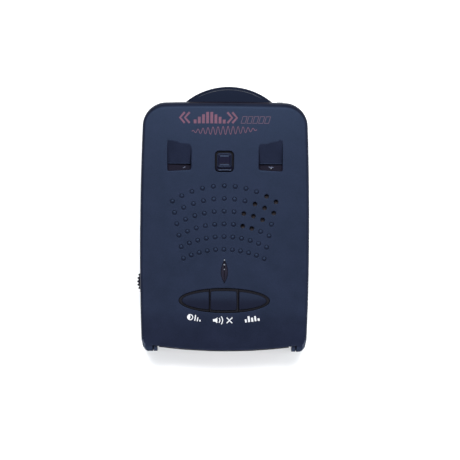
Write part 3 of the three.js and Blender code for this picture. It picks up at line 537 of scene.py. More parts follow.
def case_outline(depth=0.0, rear_y=VISOR_Y):
    """The case seen from above, anticlockwise from the middle of the rear edge."""
    def side(y):
        radius = SIDE_RADIUS_FRONT if y > WIDEST_Y else SIDE_RADIUS_REAR
        return HALF_WIDTH - depth - (y - WIDEST_Y) ** 2 / (2 * radius)

    def front(x):
        return FRONT_Y - depth - x ** 2 / (2 * FRONT_RADIUS)

    def rear(x):
        return rear_y + depth + x ** 2 / (2 * VISOR_RADIUS)

    rear_round = max(0.5, REAR_CORNER - depth)
    front_round = max(0.5, FRONT_CORNER - depth)
    rear_x = side(rear_y) - rear_round
    rear_side_y = rear(rear_x) + rear_round
    front_x = side(FRONT_Y) - front_round
    front_side_y = front(front_x) - front_round
    half = [(x, rear(x)) for x in np.linspace(0, rear_x, 31)[:-1]]
    half += [tuple(p) for p in bezier_corner(
        (rear_x, rear(rear_x)), (side(rear_y), rear(rear_x)), (side(rear_side_y), rear_side_y), 8)]
    half += [(side(y), y) for y in np.linspace(rear_side_y, front_side_y, 76)[1:-1]]
    half += [tuple(p) for p in bezier_corner(
        (side(front_side_y), front_side_y), (side(FRONT_Y), front(front_x)), (front_x, front(front_x)), 18)]
    half += [(x, front(x)) for x in np.linspace(front_x, 0, 25)[1:-1]]
    mirrored = [(-x, y) for x, y in reversed(half[1:])]
    return np.array(half + [(0, front(0))] + mirrored)


def edge_radius(loop):
    """Radius of the top edge: larger along the front, small along the rear of the visor."""
    outward = -normals(loop)[:, 1]
    return 1.2 + 1.3 * np.clip(outward, 0, 1) ** 2 - 0.85 * np.clip(-outward, 0, 1) ** 2


def pocket(skin, loop, radius, depth, flat=0.15):
    """A hole with a rounded rim, from the top surface down to a flat end. Returns its outermost ring."""
    steps = [(-radius - flat, 0.0)] + [(-radius * down, radius * inward) for inward, down in quarter(5)]
    steps.append((0.0, depth))
    rings = [skin.level(inset(loop, amount), below_crown(deep)) for amount, deep in steps]
    skin.strips(rings[::-1])
    skin.cap(rings[-1])
    return rings[0]


FAN_X, FAN_RADIUS, FAN_Y, FAN_PITCH = -0.25, 38.5, 16.75, 5.2
SOUND_SIDE = 5
OPEN_HOLES = [(4, 5), (3, 4, 5), (2, 3, 4), (2, 3), (), ()]


def sound_holes():
    """Middle of each sound hole, and whether it goes through."""
    for row, opened in enumerate(OPEN_HOLES):
        pitch = 4.5 - 0.217 * row
        for column in range(-SOUND_SIDE, SOUND_SIDE + 1):
            angle = column * pitch / FAN_RADIUS
            x = FAN_X + FAN_RADIUS * sin(angle)
            y = FAN_Y - row * FAN_PITCH - FAN_RADIUS * (1 - cos(angle))
            yield x, y, column in opened


def drop_outline(grow=0.0, count=22):
    """The sensor lens's teardrop, anticlockwise."""
    half, front_y, length = LENS_HALF + grow, LENS_FRONT_Y + grow, LENS_LENGTH + 2 * grow
    shares = np.arange(count + 1) / count
    right = [(half * sin(pi * u ** 1.2), front_y - length * u) for u in shares]
    left = [(-x, y) for x, y in right[:0:-1]]
    return np.array((right[:-1] + left)[::-1])


def ramp_height(x, y):
    """Height of a bracket recess's ramp, the same on both sides."""
    a = np.array([SLOT_INNER_X, RAMP_INNER_Y, crown(SLOT_INNER_X, RAMP_INNER_Y)])
    b = np.array([SLOT_OUTER_X, RAMP_OUTER_Y, crown(SLOT_OUTER_X, RAMP_OUTER_Y)])
    middle = (SLOT_INNER_X + SLOT_OUTER_X) / 2
    c = np.array([middle, RAMP_END_Y, crown(middle, RAMP_END_Y) - RAMP_DEPTH])
    n = np.cross(b - a, c - a)
    return a[2] - (n[0] * (abs(x) - a[0]) + n[1] * (y - a[1])) / n[2]


def slot_loop(sign):
    """A bracket recess seen from above, anticlockwise."""
    return on_side(rounded([
        (SLOT_INNER_X, SLOT_END_INNER_Y, 0.9), (SLOT_OUTER_X, SLOT_END_OUTER_Y, 0.5),
        (SLOT_OUTER_X, RAMP_OUTER_Y, 0.3), (SLOT_INNER_X, RAMP_INNER_Y, 0.3)], 0.4), sign)


def recess_cutter(sign):
    """The space over a bracket ramp. Its rim is rounded where the recess is deep enough."""
    rim, lean, inner_lean = 0.3, 0.08, 0.34
    loop = slot_loop(sign)
    depth = np.array([max(0.0, crown(x, y) - ramp_height(x, y)) for x, y in loop])
    soft = np.minimum(rim, depth * 0.45)
    # The inner wall leans in more than the others.
    foot = inset(loop, depth * np.where(np.abs(loop[:, 0]) < SLOT_INNER_X + 0.6, inner_lean, lean))
    rings = [[(x, y, min(ramp_height(x, y), crown(x, y))) for x, y in foot]]
    rings += [dropped(inset(loop, -soft * down), soft * inward) for inward, down in quarter(6)[::-1]]
    rings.append([(x, y, TOP + 2) for x, y in inset(loop, -soft)])
    return swept_skin(rings)


def pit_cutter(sign):
    """The deep slot behind a bracket ramp, with a fine chamfer on the ramp's low edge."""
    floor_z = 24.0
    loop = slot_loop(sign)
    loop = loop[loop[:, 1] < RAMP_END_Y - 0.05]
    start = int(np.argmax(np.linalg.norm(loop - np.roll(loop, 1, axis=0), axis=1)))
    loop = np.roll(loop, -start, axis=0)
    ends = sorted((sign * SLOT_INNER_X, sign * SLOT_OUTER_X), reverse=True)
    rings = []
    for ahead, above in ((0, None), (0, -0.05), (0.04, 0.03), (0.04, 2.0)):
        plan = [tuple(p) for p in loop] + [(x, RAMP_END_Y + ahead) for x in ends]
        rings.append([(x, y, floor_z if above is None else ramp_height(x, RAMP_END_Y) + above)
                      for x, y in plan])
    return swept_skin(rings)


def ramp_block(sign):
    """The material that a bracket ramp is cut from."""
    inner, outer, end = SLOT_INNER_X - 0.4, SLOT_OUTER_X + 0.4, RAMP_END_Y - 0.05
    plan = [(inner, end), (outer, end), (outer, RAMP_OUTER_Y + 1.5), (inner, RAMP_INNER_Y + 1.5)]
    plan = on_side(plan, sign)
    return closed_skin([(plan, 26.4), (plan, 29.3)])


def ramp_bead(sign):
    """A fine raised edge along a ramp's low end."""
    half_wide, half_high = 0.3, 0.24
    rings = []
    for x in np.linspace(SLOT_INNER_X - 0.3, SLOT_OUTER_X + 0.3, 12):
        middle = (sign * x, RAMP_END_Y + 0.14, ramp_height(x, RAMP_END_Y) - 0.06)
        rings.append(oval(middle, (0, 1), half_wide, half_high, 14))
    return swept_skin(rings)


def dimple(skin, x, y, deep):
    """A sound hole, which goes through or ends in a shallow floor. Returns its outermost ring."""
    steps = [(1.2, 0.0), (1.02, 0.0), (0.97, 0.015), (0.93, 0.05), (0.91, 0.12)]
    if deep:
        steps += [(0.88, 0.5), (0.86, 3.2)]
    else:
        steps += [(0.89, 0.38), (0.84, 0.52), (0.72, 0.58), (0.5, 0.53), (0.2, 0.48)]
    rings = [skin.level(circle(x, y, radius, 28), below_crown(depth)) for radius, depth in steps]
    skin.strips(rings)
    skin.cap(rings[-1])
    return rings[0]


RELEASE_LOOP = rounded([(-4.1, 22.5, 1.7), (3.6, 22.5, 1.7), (3.6, 31.2, 1.7), (-4.1, 31.2, 1.7)], 0.35)
KEYS_LOOP = ellipse(0, KEYS_Y, 18.65, 5.1, 120)
POCKET_DEPTH = 3.4


def upper_envelope():
    """The upper case as a solid, with the top's holes as blind pockets."""
    skin = Skin()
    outline = case_outline()
    radius = edge_radius(outline)
    rings = [skin.level(inset(outline, 0.3), PARTING_Z + 0.15), skin.level(outline, PARTING_Z + 0.45)]
    for height in (19.5, 23.0, 26.5):
        rings.append(skin.level(inset(outline, TOP_DRAFT * (height - PARTING_Z) / 13), height))
    for inward, down in quarter(10):
        rings.append(skin.ring(dropped(inset(outline, TOP_DRAFT + radius * inward), radius * down)))
    rings.append(skin.level(inset(outline, TOP_DRAFT + radius + 0.3), crown))
    skin.strips(rings)
    skin.cap(rings[0][::-1])
    holes = [dimple(skin, x, y, deep) for x, y, deep in sound_holes()]
    holes.append(pocket(skin, KEYS_LOOP, 0.16, POCKET_DEPTH))
    holes.append(pocket(skin, RELEASE_LOOP, 0.15, POCKET_DEPTH))
    holes.append(pocket(skin, drop_outline(), 0.1, POCKET_DEPTH, 0.04))
    skin.fill(rings[-1], holes, crown, 1.15)
    return skin


def upper_cavity():
    """The space inside the upper case, with a rabbet along the parting line."""
    ceiling = below_crown(WALL)
    skin = Skin()
    levels = [(0.85, PARTING_Z - 1), (0.87, PARTING_Z + 1.2), (WALL, PARTING_Z + 1.21),
              (WALL + TOP_DRAFT, ceiling)]
    rings = [skin.level(case_outline(depth, VISOR_Y - 10), height) for depth, height in levels]
    skin.strips(rings)
    skin.cap(rings[0][::-1])
    skin.fill(rings[-1], [], ceiling, 3.0)
    return skin


def window_opening():
    half = WINDOW_HALF + 0.3
    return box_skin(WINDOW_X - half, WINDOW_X + half, 46.9, 53.5, WINDOW_LOW_Z - 0.3, WINDOW_HIGH_Z + 0.3)


def wheel_slit():
    half = 5.9
    return box_skin(-35.75, WHEEL_X, WHEEL_Y - half, WHEEL_Y + half, WHEEL_LOW - 0.5, WHEEL_HIGH + 0.5)


def ear_loop(sign):
    """An ear beside the display, seen from above. The two ears' inner sides aren't symmetrical."""
    inner = 29.3 + 0.25 * sign
    return on_side(rounded([
        (inner, -44.6, 0.05), (inner, -51.05, 0.15), (31.2, -51.0, 0.6), (31.95, -50.65, 0.6),
        (32.65, -49.95, 0.6), (33.25, -49.1, 0.5), (33.5, -48.15, 0.8), (33.82, -46.45, 0.8),
        (33.6, -44.6, 0.05)], 0.25), sign)


def ear_fall(y):
    """How far an ear's tail is bent down."""
    return EAR_FALL * max(0.0, EAR_BEND_Y - y) ** 2


def ear_corner_highlight(x, y, z):
    """Whether a point is on the upper part of an ear's rounded outer corner, where a lighter paint is a
    painted highlight.
    """
    return abs(x) > 31.2 and -50.1 < y < -46.2 and 0.07 < crown(x, y) - ear_fall(y) - z < 0.5


def ear_bend(sign):
    """The space over an ear's tail, which bends down to the rear."""
    end_y, high = -51.8, TOP + 2
    rings = []
    for x in np.linspace(28.95, 35.2, 8) * sign:
        under = [(x, y, crown(x, y) + 0.01 - ear_fall(y)) for y in np.linspace(end_y, EAR_BEND_Y, 14)]
        rings.append(under + [(x, EAR_BEND_Y, high), (x, end_y, high)])
    return swept_skin(rings)


def upper_ear(sign):
    """The upper case's ear, whose top runs on from the crown."""
    loop = ear_loop(sign)
    outward = np.clip(-normals(loop)[:, 0] * sign, 0, 1)
    radius = 0.5 + 1.1 * outward
    rings = [[(x, y, PARTING_Z + above) for x, y in inset(loop, amount)]
             for amount, above in ((0.3, 0.15), (0, 0.45))]
    rings += [dropped(inset(loop, TOP_DRAFT + radius * inward), radius * down + 0.02)
              for inward, down in quarter(7)]
    return swept_skin(rings)


def top_shell():
    obj = upper_envelope().object("case_upper")
    boolean(obj, "DIFFERENCE", upper_cavity())
    added = [rod(x, y, 3.6, PARTING_Z + 0.2, crown(x, y) - 1, 40) for x, y in CASE_SCREWS]
    added += [ramp_block(sign) for sign in SIDES] + [upper_ear(sign) for sign in SIDES]
    boolean(obj, "UNION", *added)
    cutters = [recess_cutter(sign) for sign in SIDES] + [pit_cutter(sign) for sign in SIDES]
    cutters.append(window_opening())
    cutters += [rod(x, y, 1.7, PARTING_Z - 1, 26) for x, y in CASE_SCREWS]
    cutters.append(wheel_slit())
    cutters += [ear_bend(sign) for sign in SIDES]
    boolean(obj, "DIFFERENCE", *cutters)
    boolean(obj, "UNION", *[ramp_bead(sign) for sign in SIDES])
    return obj


# ---- Lower case, front window and rear bezel ----


def lying(loop, x0, x1):
    """A prism along X over a loop in (y, z)."""
    return swept_skin([(x, y, z) for y, z in loop] for x in (x0, x1))


def nub():
    """A small rib in the front wall, beside the window."""
    plan = rounded([(20.2, 50.0, 0.05), (24.4, 50.0, 0.05), (23.6, 51.4, 0.5), (21.0, 51.4, 0.5)], 0.2)
    return prism_skin(plan, [(0.3, 8), (0, 8.4), (0, 14.4), (0.3, 14.8)])


def bottom_shell():
    high = PARTING_Z - 0.15
    levels = [(BASE_DRAFT + BASE_EDGE * down, BASE_EDGE * inward) for inward, down in quarter(7)]
    levels += [(BASE_DRAFT * (1 - height / high), height) for height in (5.0, 9.0, 12.5)]
    levels += [(0, high - 0.3), (0.3, high)]
    obj = prism_skin(case_outline(0.0, SILL_Y), levels).object("case_lower")
    open_rear = SILL_Y - 10
    cavity = closed_skin([(case_outline(WALL + BASE_DRAFT, open_rear), WALL),
                          (case_outline(WALL, open_rear), high + 3)])
    # A tongue stands inside the upper case's wall, so that no light passes through the parting line.
    tongue = prism_skin(case_outline(1.05, SILL_Y), [(0, high - 1), (0, high + 1.05)])
    boolean(obj, "UNION", tongue)
    boolean(obj, "DIFFERENCE", cavity, box_skin(-36, 36, -54, -44.3, high, high + 3))
    ear_levels = [(0.4, 0), (0.12, 0.12), (0, 0.4), (0, high - 0.3), (0.3, high)]
    ears = [prism_skin(ear_loop(sign), ear_levels) for sign in SIDES]
    towers = [rod(x, y, 4.2, 0.5, high - 0.1, 40) for x, y in CASE_SCREWS]
    posts = [rod(x, y, 2.6, 1, 14.7, 28) for x, y in BOARD_POSTS]
    boolean(obj, "UNION", *ears, *towers, *posts, nub())
    seat = [(3.5, -1), (3.5, 0), (3.42, 0.1), (3.15, 0.4), (3.1, 0.5), (3.1, 4.7)]
    cutters = [window_opening()]
    for x, y in CASE_SCREWS:
        cutters += [turned_skin(seat, x, y, 40), rod(x, y, 1.7, 4, 18)]
    cutters += [rod(x, y, 1.3, 6, 17, 20) for x, y in BOARD_POSTS[:2]]
    cutters.append(lying(circle(JACK_Y, JACK_Z, 3.8, 36), 30, 36))
    label = rounded([(-16, -32, 0.8), (16, -32, 0.8), (16, -12, 0.8), (-16, -12, 0.8)], 0.5)
    cutters.append(prism_skin(label, [(-0.3, -1), (-0.3, 0), (0, 0.3), (0, 0.5)]))
    boolean(obj, "DIFFERENCE", *cutters)
    return obj


def window_loop(grow, back_y):
    """The front window seen from above: straight sides, a curved front and a flat back."""
    radius = WINDOW_RADIUS + grow
    half = WINDOW_HALF + grow
    centre_y = WINDOW_APEX_Y - WINDOW_RADIUS
    reach = asin(half / radius)
    angles = np.linspace(pi / 2 - reach, pi / 2 + reach, 72)
    arc = [(WINDOW_X + radius * cos(a), centre_y + radius * sin(a)) for a in angles]
    side_y = arc[0][1]
    right = [(WINDOW_X + half, y) for y in np.linspace(back_y, side_y, 8)[:-1]]
    left = [(WINDOW_X - half, y) for y in np.linspace(side_y, back_y, 8)[1:]]
    base = [(x, back_y) for x in np.linspace(WINDOW_X - half, WINDOW_X + half, 20)[1:-1]]
    return np.array(right + arc + left + base)


def front_window():
    """The snout: its top and bottom edges are rounded, and a fine step runs inside its upper edge."""
    low, high, back = WINDOW_LOW_Z, WINDOW_HIGH_Z, 46.9
    edge, step_in, wall, lip = 0.75, 0.95, 1.6, 1.7
    brow = high - 0.22
    levels = [(edge * down, low + edge * inward) for inward, down in quarter(7)]
    levels += [(edge * inward, brow - edge * down) for inward, down in quarter(7)]
    levels += [(step_in, brow), (step_in + 0.06, brow + 0.05), (step_in + 0.14, high - 0.05),
               (step_in + 0.22, high)]
    obj = closed_skin([(window_loop(-amount, back), z) for amount, z in levels]).object("sensor_window")
    reach = WINDOW_HALF + lip
    flange = box_skin(WINDOW_X - reach, WINDOW_X + reach, back, back + 1, low - lip, high + lip)
    lug_loop = rounded([(0.15, 56.3, 0.3), (3.15, 56.3, 0.3), (3.15, 57.42, 0.25), (0.15, 57.42, 0.25)], 0.15)
    lug = prism_skin(lug_loop, [(0, 25.2), (0, high - 0.2), (0.08, high - 0.06), (0.22, high)])
    boolean(obj, "UNION", flange, lug)
    hollow = window_loop(-wall, back - 1)
    boolean(obj, "DIFFERENCE", closed_skin([(hollow, low + wall), (hollow, high - wall)]))
    return obj


def window_bead():
    """A hairline bead that follows the window's curved edge, just inside it. Its lighter paint is a painted
    highlight for the light line on the window's edge.
    """
    angles = np.linspace(radians(60), radians(118), 90)
    rings = []
    for i, a in enumerate(angles):
        thick = 0.13 * min(1.0, 0.3 + 0.1 * min(i, len(angles) - 1 - i))
        out = np.array([cos(a), sin(a)])
        x, y = out * (WINDOW_RADIUS - 1.25) + (WINDOW_X, WINDOW_APEX_Y - WINDOW_RADIUS)
        rings.append(oval((x, y, WINDOW_HIGH_Z), out, thick, thick))
    return swept_skin(rings).object("window_bead")


def bevel(obj, width):
    """Rounds an object's sharp edges."""
    modifier = obj.modifiers.new("bevel", "BEVEL")
    modifier.width = width * MM
    modifier.segments = 3
    modifier.limit_method = "ANGLE"
    modifier.angle_limit = radians(40)
    modifier.use_clamp_overlap = True
    apply(obj)


def visor_hood():
    """A thin shelf that lines the underside of the visor and reaches just behind its edge."""
    xs = np.linspace(-26.6, 26.6, 61)
    rear = [(x, -50.94 + x ** 2 / (2 * VISOR_RADIUS)) for x in xs]
    front = [(x, -45.6) for x in xs[::-1]]
    loop = np.array(rear + front)

    def top(x, y):
        return min(crown(x, y) - WALL - 0.3, 27.1)

    return closed_skin([(loop * (1, 0.99), lambda x, y: top(x, y) - 0.9), (loop, top)])


def rear_bezel():
    """The frame of the display window, with the posts beside the ears. The posts aren't symmetrical."""
    obj = box_skin(-29.1, 29.1, -46.6, -43, 2.3, 27.1).object("display_bezel")
    added = []
    for sign in SIDES:
        inner, outer, web = 27.45 + 0.2 * sign, 28.95 + 0.25 * sign, 29.2 + 0.25 * sign
        plan = on_side([(inner, -50.9), (outer, -50.9), (outer, -45.6), (inner, -45.6)], sign)
        added.append(prism_skin(plan, [(0, 2.3), (0, 27.6)]))
        added.append(box_skin(*sorted((sign * 28, sign * web)), -50.4, -45.6, 2.6, 26.2))
    boolean(obj, "UNION", *added)
    boolean(obj, "DIFFERENCE", box_skin(-25.6, 25.6, -47.6, -42, 6.8, 23.6),
            box_skin(-26.9, 26.9, -45.2, -42, 5.6, 24.8))
    bevel(obj, 0.3)
    boolean(obj, "UNION", visor_hood())
    return obj


# ---- Keys, release and thumbwheel ----

KEY_HALF_X, KEY_HALF_Y = 17.35, 4.0


def bend(a, corner, b):
    """Points of a soft corner from a to b."""
    a, corner, b = map(np.array, (a, corner, b))
    return [tuple((1 - t) ** 2 * a + 2 * t * (1 - t) * corner + t * t * b) for t in np.linspace(0, 1, 7)]


def key_loop(low_x, high_x, half_x=KEY_HALF_X, half_y=KEY_HALF_Y, soft=0.8):
    """One key's share of an oval, anticlockwise, with its cut corners softened."""
    closest = 0.09

    def edge(x):
        return half_y * sqrt(max(0.0, 1 - (x / half_x) ** 2))

    def cut(x, start_x, way):
        """The straight side at x. It starts on the oval at start_x, at the front (way 1) or rear (-1)."""
        y = edge(x)
        side = bend((start_x, way * edge(start_x)), (x, way * y), (x, way * (y - soft)))
        side += [(x, v) for v in np.linspace(way * (y - soft), way * (soft - y), 14)[1:-1]]
        return side + bend((x, way * (soft - y)), (x, -way * y), (start_x, -way * edge(start_x)))

    low_cut, high_cut = low_x > -half_x, high_x < half_x
    first = low_x + soft if low_cut else -half_x
    last = high_x - soft if high_cut else half_x
    xs = [x for x in half_x * np.cos(np.linspace(0, pi, 180)) if first < x < last]
    loop = [(x, edge(x)) for x in xs]
    if low_cut:
        loop += cut(low_x, first, 1)
    loop += [(x, -edge(x)) for x in xs[::-1]]
    if high_cut:
        loop += cut(high_x, last, -1)
    spaced = [loop[0]]
    for p in loop[1:]:
        if dist(p, spaced[-1]) > closest:
            spaced.append(p)
    if dist(spaced[0], spaced[-1]) < closest:
        spaced.pop()
    return np.array(spaced) + (0, KEYS_Y)


def key_height(x, y):
    """Top of the keys: a soft ridge along the middle that falls to the front and rear edges."""
    ridge, end_fall, slope, softness = 0.44, 0.25, 0.44, 0.2
    t = abs(y - KEYS_Y) / KEY_HALF_Y
    fall = slope * (sqrt(t * t + softness) - sqrt(softness))
    return TOP + ridge - end_fall * (x / KEY_HALF_X) ** 2 - fall


def key(name, stem_x):
    """A key's cap, the step around it that fills the opening, the flange under the case and the stem."""
    loop = key_loop(*KEY_SPANS[name])
    radius = 0.3
    skin = Skin()
    rings = [skin.level(loop, 27.9)]
    for inward, down in quarter(6):
        plan = inset(loop, radius * inward)
        rings.append(skin.level(plan, lambda x, y, d=radius * down: key_height(x, y) - d))
    rings.append(skin.level(inset(loop, radius + 0.12), key_height))
    skin.strips(rings)
    skin.cap(rings[0][::-1])
    skin.fill(rings[-1], [], key_height, 0.45)
    obj = skin.object(name + "_cap")
    flange = key_loop(*KEY_SPANS[name], 19.4, 5.8, 0.3)
    step = key_loop(*KEY_STEP_SPANS[name], 18.5, 4.95, 0.1)
    stem = turned_skin([(1.3, 21.2), (1.5, 21.4), (1.5, 27.8)], stem_x, KEYS_Y, 24)
    boolean(obj, "UNION", prism_skin(flange, [(0, 27.0), (0, 28.3)]), stem,
            prism_skin(step, [(0, 28.1), (0, KEY_STEP_Z - 0.1), (0.06, KEY_STEP_Z)]))
    return obj


def release_coil():
    """The button's return spring, a round wire wound between the retainer and the button."""
    wire, mean, low, high, turns = 0.2, 1.9, 24.1, 27.2, 3.25
    rings = []
    for t in np.linspace(0, 1, 118):
        turn = 2 * pi * turns * t
        out = np.array([cos(turn), sin(turn)])
        rings.append(oval((*(out * mean + (0, 27.5)), low + (high - low) * t), out, wire, wire))
    return swept_skin(rings).object("release_coil")


def rib(y, z, slope):
    """A narrow bar across the dish whose top leans to the front."""
    plan = rounded([(-2.1, y, 0.1), (1.65, y, 0.1), (1.65, y + 0.5, 0.1), (-2.1, y + 0.5, 0.1)], 0.25)
    return closed_skin([(plan, z - 0.6), (plan, lambda px, py: z - slope * (py - y))])


def rounded_box(x0, x1, y0, y1, rear_radius, front_radius):
    """A rectangle seen from above, with rounded corners."""
    return rounded([(x0, y0, rear_radius), (x1, y0, rear_radius), (x1, y1, front_radius),
                    (x0, y1, front_radius)], 0.25)


def release_button():
    """A square cap with a shallow dish. A step around it and a wider tier behind it fill its hole."""
    cap_loop = rounded_box(-3.25, 2.75, 24.3, 30.3, 1.0, 1.0)
    dish_loop = rounded_box(-2.7, 2.2, 24.95, 29.6, 0.6, 0.5)
    top, radius, lip = TOP + 0.35, 0.28, 0.18
    skin = Skin()
    rings = [skin.level(cap_loop, 28.2)]
    for inward, down in quarter(6):
        rings.append(skin.level(inset(cap_loop, radius * inward), top - radius * down))
    skin.strips(rings)
    skin.cap(rings[0][::-1])

    def dish_depth(y):
        return 0.18 + 0.34 * min(share(y, 25.0, 25.5), share(y, 29.5, 29.0))

    def dish_height(x, y):
        return top - dish_depth(y)

    dish = [skin.level(inset(dish_loop, -lip * down), top - lip * inward) for inward, down in quarter(5)]
    dish.append(skin.level(inset(dish_loop, 0.12), lambda x, y: dish_height(x, y) + 0.05))
    dish.append(skin.level(inset(dish_loop, 0.32), dish_height))
    skin.strips(dish[::-1])
    skin.fill(dish[-1], [], dish_height, 0.5)
    skin.fill(rings[-1], [dish[0]], lambda x, y: top, 0.5)
    obj = skin.object("bracket_release")
    boolean(obj, "UNION", rib(25.2, top - 0.1, 0.2), rib(28.8, top - 0.2, 0.2))
    tier = rounded_box(-3.75, 3.25, 22.9, 25.0, 1.4, 0.6)
    step = rounded_box(-3.92, 3.42, 22.85, 31.02, 1.5, 1.5)
    line = rounded_box(-2.9, 2.6, 23.15, 23.55, 0.1, 0.1)
    high = RELEASE_STEP_Z + 0.4
    boolean(obj, "UNION", prism_skin(tier, [(0, 28), (0, high - 0.2), (0.05, high - 0.08), (0.18, high)]),
            prism_skin(step, [(0, 28.1), (0, RELEASE_STEP_Z)]), box_skin(-4.5, 4.5, 23.5, 31.5, 27.3, 28.3),
            prism_skin(line, [(0, high - 0.3), (0, high + 0.1), (0.08, high + 0.18)]))
    boolean(obj, "DIFFERENCE", rod(0, 27.5, 2.6, 26, 27.7, 32))
    return obj


def thumbwheel():
    """The toothed volume wheel, on a hub and with a hole for its screw."""
    teeth, points_per_tooth, tooth = 34, 10, 0.6
    angles = np.arange(teeth * points_per_tooth) * 2 * pi / (teeth * points_per_tooth)
    radius = WHEEL_R - tooth * (0.5 - 0.5 * np.cos(angles * teeth)) ** 1.3
    spokes = np.stack([radius * np.cos(angles), radius * np.sin(angles)], axis=1)
    low, high = WHEEL_LOW, WHEEL_HIGH
    levels = [(0.955, low), (0.985, low + 0.12), (1.0, low + 0.4), (1.0, high - 0.4), (0.985, high - 0.12),
              (0.955, high)]
    wheel = closed_skin([(spokes * scale + (WHEEL_X, WHEEL_Y), z) for scale, z in levels])
    obj = wheel.object("volume_dial")
    boolean(obj, "UNION", rod(WHEEL_X, WHEEL_Y, 1.5, low - 1.6, low + 0.5, 28))
    boolean(obj, "DIFFERENCE", rod(WHEEL_X, WHEEL_Y, 1.3, low + 0.8, high + 1))
    return obj


# ---- Sensor lens, printed marks and small metal parts ----


def sensor_lens():
    """A dark teardrop lens that lies a little below the case's top."""
    loop = drop_outline(-0.05, 26)
    levels = [(inset(loop, amount), below_crown(depth))
              for amount, depth in ((0.0, 0.44), (0.05, 0.30), (0.14, 0.22), (0.28, 0.18))]
    return closed_skin([(loop, 27.6)] + levels).object("teardrop_lens")


def plate(skin, loop):
    """A thin printed patch that follows the case's top."""
    sink, thickness = 0.02, 0.035
    skin.close([skin.level(loop, below_crown(sink)), skin.level(loop, below_crown(-thickness))])


def stroke(points, width):
    """A closed anticlockwise loop around a line of points."""
    points = np.array(points, float)
    along = np.gradient(points, axis=0)
    along /= np.linalg.norm(along, axis=1, keepdims=True)
    across = np.stack([along[:, 1], -along[:, 0]], axis=1) * width / 2
    return np.concatenate([points + across, (points - across)[::-1]])


def turned_plan(loop, x, y, degrees):
    a = radians(degrees)
    turn = np.array([[cos(a), sin(a)], [-sin(a), cos(a)]])
    return np.asarray(loop, float) @ turn + (x, y)


def bar(x0, x1, y0, y1):
    return np.array([(x0, y0), (x1, y0), (x1, y1), (x0, y1)])


def slanted(loop, base_y):
    """A loop that leans to the right above a base line."""
    slant = 0.3
    return [(x + slant * (y - base_y), y) for x, y in loop]


def arc(x, y, radius, start, end, width, count=14):
    angles = np.radians(np.linspace(start, end, count))
    return stroke([(x + radius * cos(a), y + radius * sin(a)) for a in angles], width)


def pictograms():
    """White key marks: a half-dimmed lamp, a crossed-out loudspeaker and a row of buildings."""
    low = -1.2
    lamp = [arc(-1.7, 0, 1.05, -90, 90, 0.4), arc(-1.72, 0, 0.63, 90, 270, 1.24, 12),
            bar(0.15, 0.6, low, 1.2), bar(1.2, 1.65, low, 0.35), bar(2.25, 2.7, low, -0.45)]
    horn = [np.array([(-4.1, -0.5), (-3.3, -0.5), (-2.3, -1.2), (-2.3, 1.2), (-3.3, 0.5), (-4.1, 0.5)]),
            arc(-2.6, 0, 1.35, -46, 46, 0.38), arc(-2.6, 0, 2.45, -40, 40, 0.38),
            stroke([(1.5, -1.15), (3.8, 1.15)], 0.4), stroke([(1.5, 1.15), (2.42, 0.23)], 0.4),
            stroke([(2.88, -0.23), (3.8, -1.15)], 0.4)]
    town = [bar(-3.1, -2.4, low, 0.1), bar(-1.85, -1.05, low, 1.2), bar(-0.5, 0.3, low, 0.4),
            bar(0.85, 1.55, low, 0.9), bar(2.1, 2.9, low, -0.2)]
    places = {"mark_dim": (lamp, -12.2, -37.2, -8), "mark_mute": (horn, -0.45, -38.2, 0),
              "mark_city": (town, 11.55, -37.45, 8)}
    return {name: [turned_plan(loop, x, y, turn) for loop in loops]
            for name, (loops, x, y, turn) in places.items()}


def front_marks():
    """Dull pink marks at the front of the top: chevrons with bars between, small boxes and a wave line."""
    base_y, line, box_width, box_top = 42.35, 0.25, 1.96, 45.35
    chevrons = [stroke([(x + 1.3, 42.5), (x - 0.6, 44.7), (x + 1.3, 46.9)], 0.85) for x in (-17.9, -15.9)]
    bars = [bar(x, x + 1.15, base_y, base_y + height) for x, height in zip(
        np.linspace(-12.9, -1.0, 8), (1.6, 2.7, 3.7, 4.7, 4.7, 3.7, 2.7, 1.6))]
    chevrons_back = [stroke([(x - 1.0, 42.5), (x + 0.9, 44.7), (x - 1.0, 46.9)], 0.85) for x in (1.9, 3.9)]
    boxes = []
    for x in (6.27, 8.67, 11.07, 13.47, 15.87):
        right, inner_low, inner_high = x + box_width, base_y + 0.29, box_top - 0.29
        boxes += [bar(x, right, base_y, base_y + line), bar(x, right, box_top - line, box_top),
                  bar(x, x + 0.26, inner_low, inner_high), bar(right - 0.26, right, inner_low, inner_high)]
    xs = np.linspace(-13.7, 13.0, 260)
    swell = np.sin(np.linspace(0, pi, 260)) ** 0.6
    wave = [(x, 39.5 + 0.03 * x + 1.7 * s * sin(2 * pi * (x + 13.7) / 2.05))
            for x, s in zip(xs, swell)]
    return {"mark_front_bold": chevrons + bars + chevrons_back,
            "mark_front_thin": [slanted(loop, base_y) for loop in boxes],
            "mark_front_wave": [stroke(wave, 0.24)]}


def marks():
    """The printed marks, one thin patch for each stroke."""
    for groups, slot, ink in ((pictograms(), "label_stock", WHITE_INK),
                              (front_marks(), "red_plastic", PINK_INK)):
        for name, loops in groups.items():
            skin = Skin()
            for loop in loops:
                plate(skin, loop)
            paint = THIN_INK if name == "mark_front_thin" else ink
            finish_piece(skin.object(name), "case", paint)


def beads():
    """Three small domes on the teardrop lens, in a light grey that is a painted highlight for the glints on
    it.
    """
    for i, (y, radius) in enumerate(((-13.55, 0.4), (-15.45, 0.38), (-17.35, 0.3))):
        z = crown(0, y) - 0.24
        profile = [(radius, z - 0.3), (radius, z)]
        profile += [(radius * cos(a), z + radius * 0.8 * sin(a)) for a in np.linspace(0.2, 1.45, 7)]
        obj = turned_skin(profile, 0.0, y, 24).object(f"lens_bead_{i + 1}")
        finish_piece(obj, "case", BEAD_HIGHLIGHT, sharp=60)


